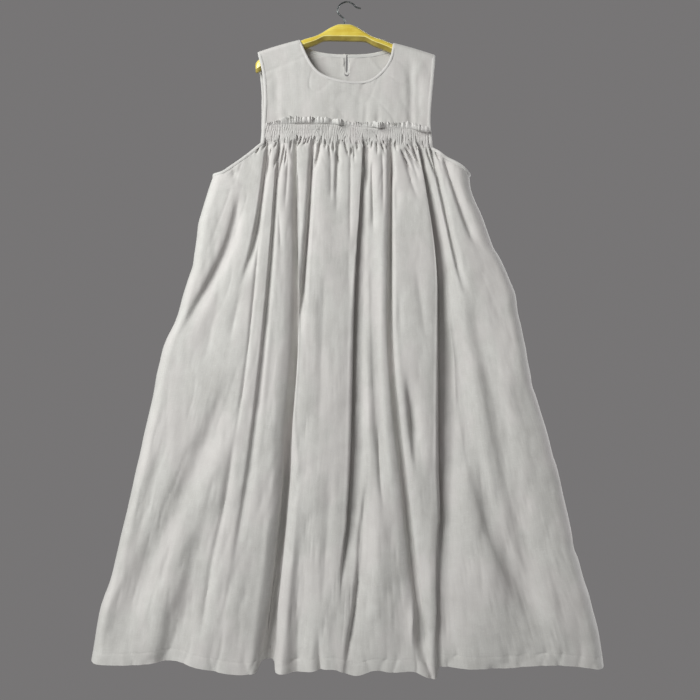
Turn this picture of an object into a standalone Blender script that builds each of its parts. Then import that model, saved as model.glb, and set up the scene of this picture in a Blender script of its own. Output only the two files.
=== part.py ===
"""Sleeveless linen sundress hanging flat on a clothes hanger.

A plain yoke front and back, a shirred band with a frilled heading, and a long gathered skirt with a
turned hem. Bias bindings finish the neck, the back slit and the armholes. Metres, +Z up, and the
front of the dress faces -Y. The origin is the inner top of the hook, where it hangs on a rail, and
a "drop" is a distance below it.
"""

import math

import bpy
import numpy as np

# ------------------------------------------------------------------ driving dimensions
CLOTH = 0.0016           # thickness of a linen panel
HEM_CLOTH = 0.0030       # the turned hem is a double layer
HEM_HEIGHT = 0.024
GATHER_DROP = 0.150      # the small gathers die away this far below the band
GATHER_COLUMNS = 3.1     # columns of the panel to each small gather
GATHER_STEEPNESS = 0.38  # depth of a small gather as a share of its width
SEAM_GAP = 0.0003
SIDE_ROUND = 0.050       # width over which a skirt panel turns in to its side seam
SIDE_ROUND_GROWTH = 0.030  # and how much wider that turn gets by the hem
SHOULDER_ROUND = 0.012   # height over which the yoke turns over its shoulder seam
SHOULDER_SLOPE = 0.24    # fall of the seam for each metre out from the neck
SHOULDER_BOW = 0.60      # and how much steeper it gets on the way
HOLLOW_HALF = 0.008      # no fold comes closer to the middle plane than this
FRONT_SKIRT_GRID = (84, 14)  # columns and rows
BACK_SKIRT_GRID = (56, 11)
ROW_CROWDING = 1.35      # rows lie closer together under the band than at the hem
HEM_STEP = 0.003         # share of the panel over which the hem's second layer begins

NECK_HALF = 0.101        # from the middle to the panel's neck point
NECK_EASE_START = 0.060  # from here out, the neck edge is eased to the shoulder's height
NECK_STEPS = 10          # on each half of the neck
NECK_CROWDING = 1.15     # steps lie closer together towards the shoulder
SHOULDER_STEPS = 4
YOKE_DOWNS = (0, 0.008, 0.027, 0.062, 0.13, 0.25, 0.46, 0.72, 1)  # its rows, as shares
BINDING_WIDTH = 0.005
BINDING_PROUD = 0.0008   # how far a binding stands out from its panel
NECK_SEAM_GAP = 0.00045  # a little more room where the neck's edge twists over the shoulder

SLIT_X = 0.0008          # middle of the back slit
SLIT_GAP_HALF = 0.0015   # clear gap between its bound edges
SLIT_BINDING_WIDTH = 0.0032
SLIT_END_DROP = 0.150
SLIT_END_STEPS = 8
SLIT_CUTTER_TOP = -0.090
SLIT_CUTTER_DEPTHS = (0.004, 0.024)

BAND_CLOTH = 0.0018      # the shirred band, drawn up by its stitching
BAND_WAVES = 46
BAND_WAVE_HEIGHT = 0.0009
BAND_WAVE_LEVELS = (0.35, 1, 0.35)  # its share at the top, middle and bottom of the band
FRILL_CLOTH = 0.0015
FRILL_LAP = 0.0030       # how far the frill's root runs down over the band
FRILL_UNEVENNESS = 0.28
FRILL_HOLLOW = 0.22      # lean of a hollow as a share of a crest's

BUTTON_RADIUS = 0.0042
BUTTON_THICKNESS = 0.0020
SHANK_RADIUS = 0.0012
BUTTON_OFFSET = 0.0058   # from the slit's middle to the button's
LOOP_CORD_RADIUS = 0.00065

HANGER_X = -0.004        # the hanger's middle stands a little off the dress's
HANGER_TILT = math.radians(1.0)
BAR_HALF_THICKNESS = 0.008
BAR_BEVEL_HEIGHT = 0.008
BAR_BEVEL_INSET = 0.45   # half width of the underside as a share of the half thickness
BAR_TIP_START = 0.172    # the tips thin down from here out
BAR_TIP_LENGTH = 0.0145
BAR_TIP_LEAST = 0.45     # to this share of the thickness
STEM_SOCKET_DEPTH = 0.017
SOCKET_SIDES = 12
WIRE_RADIUS = 0.0016
HOOK_RADIUS = 0.020      # of the wire's centre line
WIRE_SIDES = 8

SHARP_ANGLE = math.radians(50)
FRONT = -1
BACK = 1

# ------------------------------------------------------------------ tables
# Side seams of the skirt. The first row carries them on above the underarm.
SIDE_COLUMNS = ("drop", "left", "right")
SIDE_ROWS = (
    (0.290, -0.262, 0.232),
    (0.364, -0.278, 0.2555),
    (0.385, -0.285, 0.2575),
    (0.440, -0.303, 0.278),
    (0.520, -0.314, 0.309),
    (0.620, -0.343, 0.351),
    (0.710, -0.380, 0.365),
    (0.850, -0.413, 0.396),
    (1.030, -0.449, 0.443),
    (1.200, -0.488, 0.491),
    (1.300, -0.517, 0.520),
    (1.372, -0.529, 0.531),
)

# Top edge of the skirt panels: armhole, lower edge of the shirred band, armhole.
# "share" numbers the columns of a panel from its left seam, 0, to its right seam, 1.
TOP_COLUMNS = ("share", "front_x", "back_x", "drop")
TOP_ROWS = (
    (0.000, -0.278, -0.278, 0.3640),
    (0.030, -0.259, -0.259, 0.3625),
    (0.065, -0.232, -0.236, 0.3460),
    (0.110, -0.199, -0.204, 0.3210),
    (0.155, -0.171, -0.177, 0.2985),
    (0.263, -0.135, -0.135, 0.2968),
    (0.335, -0.103, -0.103, 0.2963),
    (0.456, -0.018, -0.018, 0.2970),
    (0.537, 0.040, 0.040, 0.2985),
    (0.659, 0.093, 0.093, 0.2998),
    (0.734, 0.146, 0.146, 0.3035),
    (0.845, 0.174, 0.174, 0.3075),
    (0.905, 0.2045, 0.2045, 0.3290),
    (0.955, 0.236, 0.237, 0.3470),
    (1.000, 0.2555, 0.2555, 0.3640),
)
BAND_SHARES = (0.155, 0.845)

# Lines that the front skirt's columns follow, along its main folds.
GUIDE_COLUMNS = ("share", "x_top", "x_500", "x_800", "x_1100", "x_hem")
GUIDE_DROPS = (0.297, 0.500, 0.800, 1.100, 1.372)
GUIDE_ROWS = (
    (0.147, -0.178, -0.215, -0.285, -0.355, -0.405),
    (0.263, -0.135, -0.150, -0.175, -0.215, -0.255),
    (0.335, -0.103, -0.105, -0.112, -0.136, -0.169),
    (0.456, -0.018, -0.022, -0.035, -0.060, -0.075),
    (0.537, 0.040, 0.034, 0.018, -0.003, -0.014),
    (0.659, 0.093, 0.091, 0.100, 0.121, 0.135),
    (0.734, 0.146, 0.180, 0.202, 0.176, 0.193),
    (0.856, 0.176, 0.214, 0.272, 0.320, 0.385),
)

# The hem hangs lower where the cloth swings forward.
HEM_COLUMNS = ("x", "front", "back")
HEM_ROWS = (
    (-0.529, 1.357, 1.357),
    (-0.450, 1.359, 1.362),
    (-0.355, 1.355, 1.364),
    (-0.300, 1.366, 1.366),
    (-0.210, 1.376, 1.368),
    (-0.163, 1.371, 1.366),
    (-0.100, 1.375, 1.365),
    (-0.030, 1.367, 1.368),
    (0.018, 1.379, 1.370),
    (0.060, 1.369, 1.368),
    (0.093, 1.373, 1.366),
    (0.130, 1.371, 1.366),
    (0.184, 1.389, 1.368),
    (0.215, 1.368, 1.370),
    (0.320, 1.365, 1.368),
    (0.420, 1.358, 1.366),
    (0.470, 1.361, 1.367),
    (0.531, 1.370, 1.370),
)

# Upper edge of the shirred band, which is also the yoke's lower edge.
BAND_COLUMNS = ("x", "top_drop")
BAND_ROWS = (
    (-0.180, 0.2620),
    (-0.110, 0.2565),
    (-0.030, 0.2575),
    (0.040, 0.2640),
    (0.110, 0.2660),
    (0.182, 0.2755),
)

# Free side edges of the yoke and the band, along the armholes.
ARMHOLE_COLUMNS = ("drop", "front_left", "back_left", "front_right", "back_right")
ARMHOLE_ROWS = (
    (0.095, -0.1820, -0.1820, 0.1810, 0.1810),
    (0.116, -0.1770, -0.1770, 0.1790, 0.1790),
    (0.135, -0.1720, -0.1770, 0.1775, 0.1775),
    (0.165, -0.1675, -0.1745, 0.1750, 0.1750),
    (0.207, -0.1655, -0.1730, 0.1710, 0.1710),
    (0.250, -0.1675, -0.1735, 0.1685, 0.1685),
    (0.295, -0.1705, -0.1765, 0.1725, 0.1725),
    (0.310, -0.1720, -0.1780, 0.1745, 0.1745),
)

NECK_COLUMNS = ("x", "front_drop", "back_drop")
NECK_ROWS = (
    (-0.1010, 0.0820, 0.0820),
    (-0.0985, 0.0890, 0.0860),
    (-0.0950, 0.0965, 0.0895),
    (-0.0907, 0.1055, 0.0925),
    (-0.0800, 0.1275, 0.0975),
    (-0.0573, 0.1530, 0.1035),
    (-0.0290, 0.1650, 0.1070),
    (0.0000, 0.1705, 0.1080),
    (0.0240, 0.1720, 0.1080),
    (0.0507, 0.1680, 0.1060),
    (0.0691, 0.1550, 0.1025),
    (0.0880, 0.1332, 0.0965),
    (0.0962, 0.1145, 0.0915),
    (0.0990, 0.0975, 0.0880),
    (0.1010, 0.0850, 0.0850),
)

# How far the outside of each wall stands from the dress's middle plane.
DEPTH_COLUMNS = ("drop", "front", "back")
DEPTH_ROWS = (
    (0.080, 0.0120, 0.0120),
    (0.120, 0.0120, 0.0120),
    (0.255, 0.0145, 0.0140),
    (0.295, 0.0170, 0.0160),
    (0.360, 0.0270, 0.0230),
    (0.500, 0.0380, 0.0300),
    (0.800, 0.0480, 0.0380),
    (1.372, 0.0580, 0.0450),
)

# Largest folds. Each is a trough that runs down the skirt: its centre line through four
# evenly spaced stations, its half width and depth at the start, middle and end, and the
# lengths over which it deepens and dies away.
FOLD_COLUMNS = (
    "name", "start", "end", "x0", "x1", "x2", "x3",
    "half0", "half1", "half2", "deep0", "deep1", "deep2", "fade_in", "fade_out",
)
FRONT_FOLDS = (
    ("underarm_sweep", 0.380, 0.720, -0.214, -0.238, -0.290, -0.352,
     0.012, 0.013, 0.012, 0.008, 0.016, 0.010, 0.090, 0.100),
    ("left_long_sweep", 0.740, 1.372, -0.222, -0.302, -0.400, -0.487,
     0.012, 0.015, 0.016, 0.006, 0.016, 0.010, 0.120, 0.080),
    ("left_hem_pleat", 0.990, 1.372, -0.262, -0.298, -0.330, -0.362,
     0.012, 0.016, 0.022, 0.006, 0.012, 0.020, 0.120, 0.000),
    ("left_gather", 0.296, 0.620, -0.162, -0.173, -0.190, -0.222,
     0.009, 0.010, 0.008, 0.013, 0.014, 0.006, 0.024, 0.080),
    ("left_inner_fold", 0.296, 1.220, -0.138, -0.159, -0.190, -0.236,
     0.009, 0.012, 0.014, 0.013, 0.012, 0.008, 0.024, 0.110),
    ("great_left_trough", 0.296, 1.372, -0.103, -0.106, -0.126, -0.169,
     0.008, 0.013, 0.023, 0.012, 0.034, 0.042, 0.024, 0.000),
    ("left_side_gather", 0.296, 0.700, -0.067, -0.077, -0.093, -0.101,
     0.009, 0.009, 0.010, 0.015, 0.019, 0.020, 0.022, 0.080),
    ("middle_dimple", 0.296, 0.460, -0.018, -0.020, -0.021, -0.022,
     0.008, 0.009, 0.008, 0.008, 0.007, 0.004, 0.020, 0.080),
    ("great_middle_trough", 0.296, 1.250, 0.040, 0.030, 0.008, -0.012,
     0.012, 0.018, 0.013, 0.018, 0.040, 0.026, 0.022, 0.130),
    ("middle_side_trough", 0.400, 1.060, 0.050, 0.053, 0.062, 0.074,
     0.012, 0.011, 0.007, 0.020, 0.026, 0.010, 0.080, 0.130),
    ("middle_hem_pleat", 0.980, 1.372, 0.040, 0.034, 0.027, 0.022,
     0.007, 0.009, 0.012, 0.008, 0.014, 0.024, 0.080, 0.000),
    ("left_hem_hollow", 1.020, 1.372, -0.082, -0.092, -0.099, -0.102,
     0.014, 0.018, 0.020, 0.004, 0.012, 0.016, 0.140, 0.000),
    ("right_middle_trough", 0.296, 1.372, 0.093, 0.091, 0.117, 0.135,
     0.009, 0.011, 0.017, 0.016, 0.026, 0.034, 0.022, 0.000),
    ("right_tributary", 0.760, 0.980, 0.124, 0.131, 0.137, 0.143,
     0.011, 0.012, 0.010, 0.008, 0.020, 0.018, 0.080, 0.070),
    ("great_right_trough", 0.300, 1.240, 0.146, 0.193, 0.206, 0.252,
     0.008, 0.018, 0.013, 0.013, 0.042, 0.012, 0.022, 0.140),
    ("right_hem_trough", 0.960, 1.372, 0.190, 0.174, 0.178, 0.193,
     0.009, 0.011, 0.013, 0.010, 0.030, 0.038, 0.080, 0.000),
    ("right_gather", 0.304, 0.640, 0.172, 0.196, 0.221, 0.252,
     0.008, 0.008, 0.009, 0.013, 0.012, 0.008, 0.022, 0.080),
    ("right_long_sweep", 0.600, 1.260, 0.246, 0.298, 0.338, 0.402,
     0.012, 0.017, 0.012, 0.006, 0.013, 0.009, 0.110, 0.120),
    ("right_deep_sweep", 0.640, 1.330, 0.217, 0.246, 0.306, 0.428,
     0.012, 0.013, 0.012, 0.012, 0.020, 0.012, 0.080, 0.080),
    ("armhole_fold", 0.320, 0.540, 0.199, 0.221, 0.246, 0.276,
     0.009, 0.009, 0.008, 0.010, 0.012, 0.006, 0.030, 0.080),
    ("right_side_hollow", 0.760, 0.920, 0.340, 0.362, 0.385, 0.405,
     0.016, 0.016, 0.014, 0.008, 0.009, 0.006, 0.070, 0.070),
)
BACK_FOLDS = (
    ("back_1", 0.300, 0.760, -0.166, -0.212, -0.262, -0.310,
     0.010, 0.014, 0.014, 0.008, 0.011, 0.006, 0.024, 0.140),
    ("back_2", 0.296, 1.372, -0.136, -0.190, -0.262, -0.352,
     0.010, 0.017, 0.024, 0.009, 0.016, 0.020, 0.024, 0.000),
    ("back_3", 0.296, 0.900, -0.104, -0.128, -0.152, -0.186,
     0.009, 0.014, 0.014, 0.008, 0.012, 0.006, 0.024, 0.160),
    ("back_4", 0.296, 1.372, -0.070, -0.096, -0.142, -0.206,
     0.010, 0.018, 0.024, 0.010, 0.020, 0.024, 0.024, 0.000),
    ("back_5", 0.296, 1.372, -0.022, -0.028, -0.046, -0.070,
     0.010, 0.016, 0.022, 0.010, 0.018, 0.024, 0.024, 0.000),
    ("back_6", 0.296, 0.820, 0.018, 0.020, 0.026, 0.030,
     0.009, 0.013, 0.012, 0.008, 0.012, 0.006, 0.024, 0.160),
    ("back_7", 0.296, 1.372, 0.058, 0.066, 0.074, 0.072,
     0.010, 0.018, 0.024, 0.010, 0.020, 0.024, 0.024, 0.000),
    ("back_8", 0.296, 1.372, 0.100, 0.132, 0.170, 0.216,
     0.010, 0.016, 0.022, 0.010, 0.016, 0.022, 0.024, 0.000),
    ("back_9", 0.300, 0.980, 0.138, 0.186, 0.232, 0.282,
     0.009, 0.014, 0.014, 0.008, 0.012, 0.006, 0.024, 0.160),
    ("back_10", 0.304, 1.372, 0.168, 0.232, 0.302, 0.382,
     0.010, 0.017, 0.022, 0.009, 0.014, 0.018, 0.024, 0.000),
)

# Soft creases that the gathering throws up into the yoke.
CREASE_COLUMNS = ("x", "top_drop", "half", "deep")
FRONT_CREASES = (
    (-0.140, 0.165, 0.008, 0.0022),
    (0.050, 0.185, 0.007, 0.0026),
    (0.128, 0.140, 0.007, 0.0028),
)
BACK_CREASES = (
    (-0.104, 0.170, 0.008, 0.0020),
    (0.072, 0.185, 0.008, 0.0022),
)

# The frilled heading above the band: it droops and folds forward towards its right end.
FRILL_COLUMNS = ("x", "height", "lean")
FRILL_ROWS = (
    (-0.180, 0.0060, 0.0030),
    (-0.120, 0.0120, 0.0040),
    (-0.060, 0.0085, 0.0050),
    (0.010, 0.0090, 0.0040),
    (0.060, 0.0080, 0.0050),
    (0.120, 0.0130, 0.0040),
    (0.150, 0.0070, 0.0080),
    (0.182, 0.0055, 0.0085),
)

# Upper and lower edge of one arm of the hanger. It is level from its middle to the first row.
BAR_COLUMNS = ("out", "top_drop", "bottom_drop")
BAR_ROWS = (
    (0.013, 0.0450, 0.0800),
    (0.030, 0.0530, 0.0800),
    (0.044, 0.0620, 0.0810),
    (0.060, 0.0705, 0.0890),
    (0.080, 0.0765, 0.0965),
    (0.097, 0.0836, 0.1035),
    (0.140, 0.1005, 0.1215),
    (0.168, 0.1155, 0.1390),
    (0.180, 0.1230, 0.1490),
    (0.185, 0.1290, 0.1500),
)

# Rounded top of the bar: across the arm as a share of its half thickness, and down from its top
# line in metres.
BAR_TOP_SECTION = ((0.0, 0.0), (0.32, 0.0006), (0.70, 0.0030), (1.0, 0.0068))


# ------------------------------------------------------------------ small tools
def column(rows, names, name):
    """One named column of a table, as an array."""
    return np.array([row[names.index(name)] for row in rows], float)


def through(at, places, values):
    """A smooth curve through the values, with no overshoot, read at `at`."""
    places, values = np.asarray(places, float), np.asarray(values, float)
    step = np.diff(places)
    slope = np.diff(values) / step
    tangent = np.concatenate([[slope[0]], np.zeros(len(slope) - 1), [slope[-1]]])
    same_way = slope[:-1] * slope[1:] > 0
    mean = 2 * slope[:-1] * slope[1:] / np.where(same_way, slope[:-1] + slope[1:], 1)
    tangent[1:-1] = np.where(same_way, mean, 0)
    at = np.asarray(at, float)
    k = np.clip(np.searchsorted(places, at, side="right") - 1, 0, len(step) - 1)
    q = np.clip((at - places[k]) / step[k], 0, 1)
    rise = (1 + 2 * q) * (1 - q) ** 2 * values[k] + q * q * (3 - 2 * q) * values[k + 1]
    bend = q * (1 - q) ** 2 * tangent[k] - q * q * (1 - q) * tangent[k + 1]
    return rise + bend * step[k]


def read(rows, names, wanted, at):
    """The table's `wanted` column, as a smooth curve over its first column."""
    return through(at, column(rows, names, names[0]), column(rows, names, wanted))


def ease(q):
    """0 to 1 with level ends."""
    q = np.clip(q, 0, 1)
    return q * q * (3 - 2 * q)


def quarter_round(q):
    """0 to 1 along a quarter of a circle: steep at first, level at the end."""
    return np.sqrt(1 - (1 - np.clip(q, 0, 1)) ** 2)


def unit(vectors):
    length = np.linalg.norm(vectors, axis=-1, keepdims=True)
    return vectors / np.maximum(length, 1e-12)


def word(side):
    return "front" if side == FRONT else "back"


# ------------------------------------------------------------------ making objects
def material(name, colour, roughness, metallic=0.0):
    made = bpy.data.materials.new(name)
    made.use_nodes = True
    shader = made.node_tree.nodes["Principled BSDF"]
    shader.inputs["Base Color"].default_value = (*colour, 1)
    shader.inputs["Roughness"].default_value = roughness
    shader.inputs["Metallic"].default_value = metallic
    return made


def add_object(name, points, faces, finish):
    """A mesh object, with its faces turned to point out of the closed body."""
    mesh = bpy.data.meshes.new(name)
    mesh.from_pydata([tuple(map(float, p)) for p in points], [], faces)
    volume = 0.0
    for face in mesh.polygons:
        a, *rest = [mesh.vertices[v].co for v in face.vertices]
        volume += sum(a.dot(b.cross(c)) for b, c in zip(rest, rest[1:]))
    if volume < 0:
        mesh.flip_normals()
    mesh.materials.append(finish)
    mesh.shade_smooth()
    mesh.set_sharp_from_angle(angle=SHARP_ANGLE)
    made = bpy.data.objects.new(name, mesh)
    bpy.context.scene.collection.objects.link(made)
    return made


def add_wall(name, outer, inner, finish):
    """A closed cloth wall between two grids of points that match one to one. Each square is
    split along the diagonal that lies nearer the middle plane, so that troughs stay sharp."""
    rows, columns = outer.shape[:2]
    under = rows * columns
    index = np.arange(under).reshape(rows, columns)
    depth = np.abs(outer[..., 1])
    faces = []
    for i in range(rows - 1):
        for j in range(columns - 1):
            corners = [index[i, j], index[i + 1, j], index[i + 1, j + 1], index[i, j + 1]]
            a, b, c, d = (int(k) for k in corners)
            if depth[i, j + 1] + depth[i + 1, j] < depth[i, j] + depth[i + 1, j + 1]:
                a, b, c, d = b, c, d, a
            faces += [(a, b, c), (a, c, d)]
            faces += [(under + c, under + b, under + a), (under + d, under + c, under + a)]
    rim = [*index[0, ::-1], *index[1:, 0], *index[-1, 1:], *index[-2:0:-1, -1]]
    rim = [int(i) for i in rim]
    for a, b in zip(rim, rim[1:] + rim[:1]):
        faces += [(b, a, under + a), (b, under + a, under + b)]
    points = np.concatenate([outer.reshape(-1, 3), inner.reshape(-1, 3)])
    return add_object(name, points, faces, finish)


def add_tube(name, rings, closed, finish):
    """A solid through equal rings of points, with flat ends unless it closes on itself."""
    stations, sides = rings.shape[:2]
    faces = []
    for i in range(stations if closed else stations - 1):
        ahead = ((i + 1) % stations) * sides
        for k in range(sides):
            a, b = i * sides + k, i * sides + (k + 1) % sides
            c, d = ahead + (k + 1) % sides, ahead + k
            faces += [(a, b, c), (a, c, d)]
    if not closed:
        faces.append(tuple(reversed(range(sides))))
        faces.append(tuple(range((stations - 1) * sides, stations * sides)))
    return add_object(name, rings.reshape(-1, 3), faces, finish)


def wall_normals(grid, side):
    """Unit normals of a grid of points, pointing out of that side of the dress."""
    normals = unit(np.cross(np.gradient(grid, axis=0), np.gradient(grid, axis=1)))
    return normals * np.where(normals[..., 1:2] * side < 0, -1, 1)


# ------------------------------------------------------------------ form of the garment
def wall_depth(drop, side):
    return read(DEPTH_ROWS, DEPTH_COLUMNS, word(side), drop)


def bar_top(x):
    """Drop of the hanger's top line, tilt included."""
    out, drops = (column(BAR_ROWS, BAR_COLUMNS, n) for n in ("out", "top_drop"))
    level = np.interp(np.abs(x - HANGER_X), out, drops)
    return level + (x - HANGER_X) * math.tan(HANGER_TILT)


def shoulder_drop(x):
    """The neck binding's edge rests on the hanger, and the shoulder seam slopes out from it."""
    x = np.asarray(x, float)
    sign = np.where(x < 0, -1.0, 1.0)
    rest = NECK_HALF - BINDING_WIDTH - SEAM_GAP
    beyond = np.abs(x) - rest
    seat = bar_top(sign * rest) - CLOTH - 2.5 * SEAM_GAP
    return seat + beyond * (SHOULDER_SLOPE + SHOULDER_BOW * np.maximum(beyond, 0))


def yoke_normal(x, drop, side):
    """Outward normal of the yoke: up at the shoulder seam, level below its turn."""
    fall = shoulder_drop(x + 0.0005) - shoulder_drop(x - 0.0005)
    up = 1 - np.clip((drop - shoulder_drop(x)) / SHOULDER_ROUND, 0, 1)
    return unit(np.stack([up * fall / 0.001, side * np.sqrt(1 - up**2), up], axis=-1))


def neck_drop(x, side):
    """Neck edge of the yoke, lifted or lowered at each end to meet the shoulder seam."""
    drop = read(NECK_ROWS, NECK_COLUMNS, word(side) + "_drop", x)
    sign = np.where(x < 0, -1.0, 1.0)
    end = read(NECK_ROWS, NECK_COLUMNS, word(side) + "_drop", sign * NECK_HALF)
    near_end = ease((np.abs(x) - NECK_EASE_START) / (NECK_HALF - NECK_EASE_START))
    return drop + (shoulder_drop(sign * NECK_HALF) - end) * near_end


def band_top(x):
    return read(BAND_ROWS, BAND_COLUMNS, "top_drop", x)


def band_bottom(x, side):
    """Lower edge of the band, where the skirt's top edge meets it."""
    places = column(TOP_ROWS, TOP_COLUMNS, word(side) + "_x")
    return through(x, places, column(TOP_ROWS, TOP_COLUMNS, "drop"))


def armhole_x(drop, side):
    """x of the left and the right free edge of the yoke and the band."""
    return [
        read(ARMHOLE_ROWS, ARMHOLE_COLUMNS, f"{word(side)}_{name}", drop)
        for name in ("left", "right")
    ]


def crease_depth(side, x, drop):
    total = np.zeros_like(x)
    for row in FRONT_CREASES if side == FRONT else BACK_CREASES:
        c = dict(zip(CREASE_COLUMNS, row))
        along = ease((drop - c["top_drop"]) / 0.05) * ease((band_top(x) - drop) / 0.02)
        total += c["deep"] * along / (1 + ((x - c["x"]) / c["half"]) ** 4)
    return total


def yoke_point(x, drop, side):
    """Outside of the yoke: it turns over the shoulder seam and then hangs straight."""
    turn = quarter_round((drop - shoulder_drop(x)) / SHOULDER_ROUND)
    depth = wall_depth(drop, side) * turn - crease_depth(side, x, drop)
    return np.stack([x, side * depth, -drop], axis=-1)


def fold_depth(fold, x, drop):
    """How far one fold takes the cloth in, at points of the skirt."""
    f = dict(zip(FOLD_COLUMNS, fold))
    q = np.clip((drop - f["start"]) / (f["end"] - f["start"]), 0, 1)
    centre = through(q, (0, 1 / 3, 2 / 3, 1), [f["x0"], f["x1"], f["x2"], f["x3"]])
    half = through(q, (0, 0.5, 1), [f["half0"], f["half1"], f["half2"]])
    deep = through(q, (0, 0.5, 1), [f["deep0"], f["deep1"], f["deep2"]])
    if f["fade_in"]:
        deep = deep * ease((drop - f["start"]) / f["fade_in"])
    if f["fade_out"]:
        deep = deep * ease((f["end"] - drop) / f["fade_out"])
    across = np.abs(x - centre) / half
    return deep * (0.8 / (1 + across**4) + 0.2 / (1 + (across / 2.4) ** 2))


def skirt_point(x, drop, near, down, side):
    """Outside of a skirt panel. `near` is the distance in from its side seam."""
    full = wall_depth(drop, side)
    most = np.maximum(full - HOLLOW_HALF, 0.002)
    folds = FRONT_FOLDS if side == FRONT else BACK_FOLDS
    taken = sum(fold_depth(fold, x, drop) for fold in folds) + small_gathers(x, drop)
    depth = full - most * np.tanh(taken / most)
    turn = quarter_round(near / (SIDE_ROUND + SIDE_ROUND_GROWTH * down))
    return np.stack([x, side * (SEAM_GAP / 2 + depth * turn), -drop], axis=-1)


def small_gathers(x, drop):
    """The ripples that the shirring leaves under it, deeper where the columns lie wide."""
    width = np.gradient(x, axis=1) * GATHER_COLUMNS
    count = np.arange(x.shape[1]) / GATHER_COLUMNS
    uneven = 0.75 + 0.45 * np.sin(2.8 * count) * np.sin(0.97 * count + 2)
    below = (drop - drop[0]) / GATHER_DROP
    along = (0.4 + 0.6 * ease(below * 6)) * ease(1 - below * (1.6 - uneven))
    return GATHER_STEEPNESS * width * uneven * (0.5 - 0.5 * np.cos(2 * math.pi * count)) * along


def guide_x(share, drop):
    """x of a column of the front skirt: between the two guide lines beside it."""
    lines = [read(SIDE_ROWS, SIDE_COLUMNS, "left", drop)]
    lines += [through(drop, GUIDE_DROPS, row[1:]) for row in GUIDE_ROWS]
    lines += [read(SIDE_ROWS, SIDE_COLUMNS, "right", drop)]
    places = np.array([0.0, *column(GUIDE_ROWS, GUIDE_COLUMNS, "share"), 1.0])
    k = np.clip(np.searchsorted(places, share, side="right") - 1, 0, len(places) - 2)
    beyond = (share - places[k]) / (places[k + 1] - places[k])
    lines = np.stack(lines)
    low = np.take_along_axis(lines, k[None], axis=0)[0]
    high = np.take_along_axis(lines, k[None] + 1, axis=0)[0]
    return low + (high - low) * beyond


def skirt_grid(shares, downs, side):
    """Points of a skirt panel: rows go down it, columns follow the fall of the cloth."""
    shares, downs = np.meshgrid(shares, downs)
    top_x = read(TOP_ROWS, TOP_COLUMNS, word(side) + "_x", shares)
    top_drop = read(TOP_ROWS, TOP_COLUMNS, "drop", shares)
    corner, far_corner = HEM_ROWS[0][0], HEM_ROWS[-1][0]
    if side == FRONT:
        hem_x = guide_x(shares, np.full(shares.shape, GUIDE_DROPS[-1]))
    else:
        hem_x = corner + (far_corner - corner) * shares
    hem_drop = read(HEM_ROWS, HEM_COLUMNS, word(side), hem_x)
    drop = top_drop + (hem_drop - top_drop) * downs
    left, right = [read(SIDE_ROWS, SIDE_COLUMNS, n, drop) for n in ("left", "right")]
    if side == FRONT:
        x = guide_x(shares, drop) + (top_x - guide_x(shares, top_drop)) * (1 - downs) ** 5
    else:
        above = [read(SIDE_ROWS, SIDE_COLUMNS, n, top_drop) for n in ("left", "right")]
        top_share = (top_x - above[0]) / (above[1] - above[0])
        x = left + (right - left) * (top_share + (shares - top_share) * downs**0.8)
    return skirt_point(x, drop, np.minimum(x - left, right - x), downs, side)


# ------------------------------------------------------------------ yoke
def yoke_grid(side):
    turn = math.pi / 2 * np.linspace(0, 1, NECK_STEPS + 1) ** NECK_CROWDING
    neck = NECK_HALF * np.cos(turn)
    corner = abs(armhole_x(float(shoulder_drop(ARMHOLE_ROWS[0][1])), side)[0])
    shoulder = np.linspace(corner, NECK_HALF, SHOULDER_STEPS + 1)[:-1]
    half = np.concatenate([shoulder, neck])
    x_top = np.concatenate([-half, half[-2::-1]])
    on_shoulder = np.abs(x_top) >= NECK_HALF - 1e-9
    top = np.where(on_shoulder, shoulder_drop(x_top), neck_drop(x_top, side))
    first, last = armhole_x(top, side)
    share = (x_top - first) / (last - first)
    share[0], share[-1] = 0, 1
    down = np.array(YOKE_DOWNS)[:, None]
    x = x_top + 0 * down
    for _ in range(3):
        drop = top + (band_top(x) - SEAM_GAP / 2 - top) * down
        left, right = armhole_x(drop, side)
        x = left + (right - left) * share
    grid = yoke_point(x, drop, side)
    grid[0, on_shoulder] = np.stack(
        [x[0, on_shoulder], 0 * x[0, on_shoulder] + side * SEAM_GAP / 2, -top[on_shoulder]],
        axis=-1,
    )
    return grid, on_shoulder


def add_yoke(side, finish):
    outer, on_shoulder = yoke_grid(side)
    inner = outer - yoke_normal(outer[..., 0], -outer[..., 2], side) * CLOTH
    inner[0, on_shoulder, 1] = side * SEAM_GAP / 2
    made = add_wall(f"{word(side)}_yoke", outer, inner, finish)
    return made, outer, inner, on_shoulder


def slit_outline(half, top_z):
    """x and z down the right side of the slit, round its end and up the left side."""
    end_z = half - SLIT_END_DROP
    angles = np.linspace(0, -math.pi, SLIT_END_STEPS + 1)
    end = [(SLIT_X + half * math.cos(a), end_z + half * math.sin(a)) for a in angles]
    return [(SLIT_X + half, top_z), *end, (SLIT_X - half, top_z)]


def cut_slit(back_yoke):
    """The keyhole slit: straight sides and a round end, cut right through the back yoke."""
    half = SLIT_GAP_HALF + SLIT_BINDING_WIDTH + SEAM_GAP
    outline = slit_outline(half, SLIT_CUTTER_TOP)
    rings = np.array([[(x, y, z) for x, z in outline] for y in SLIT_CUTTER_DEPTHS])
    cutter = add_tube("slit_cutter", rings, False, back_yoke.data.materials[0])
    cutter.hide_render = True
    cutter.display_type = "WIRE"
    cut = back_yoke.modifiers.new("slit", "BOOLEAN")
    cut.object = cutter
    cut.operation = "DIFFERENCE"


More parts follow.
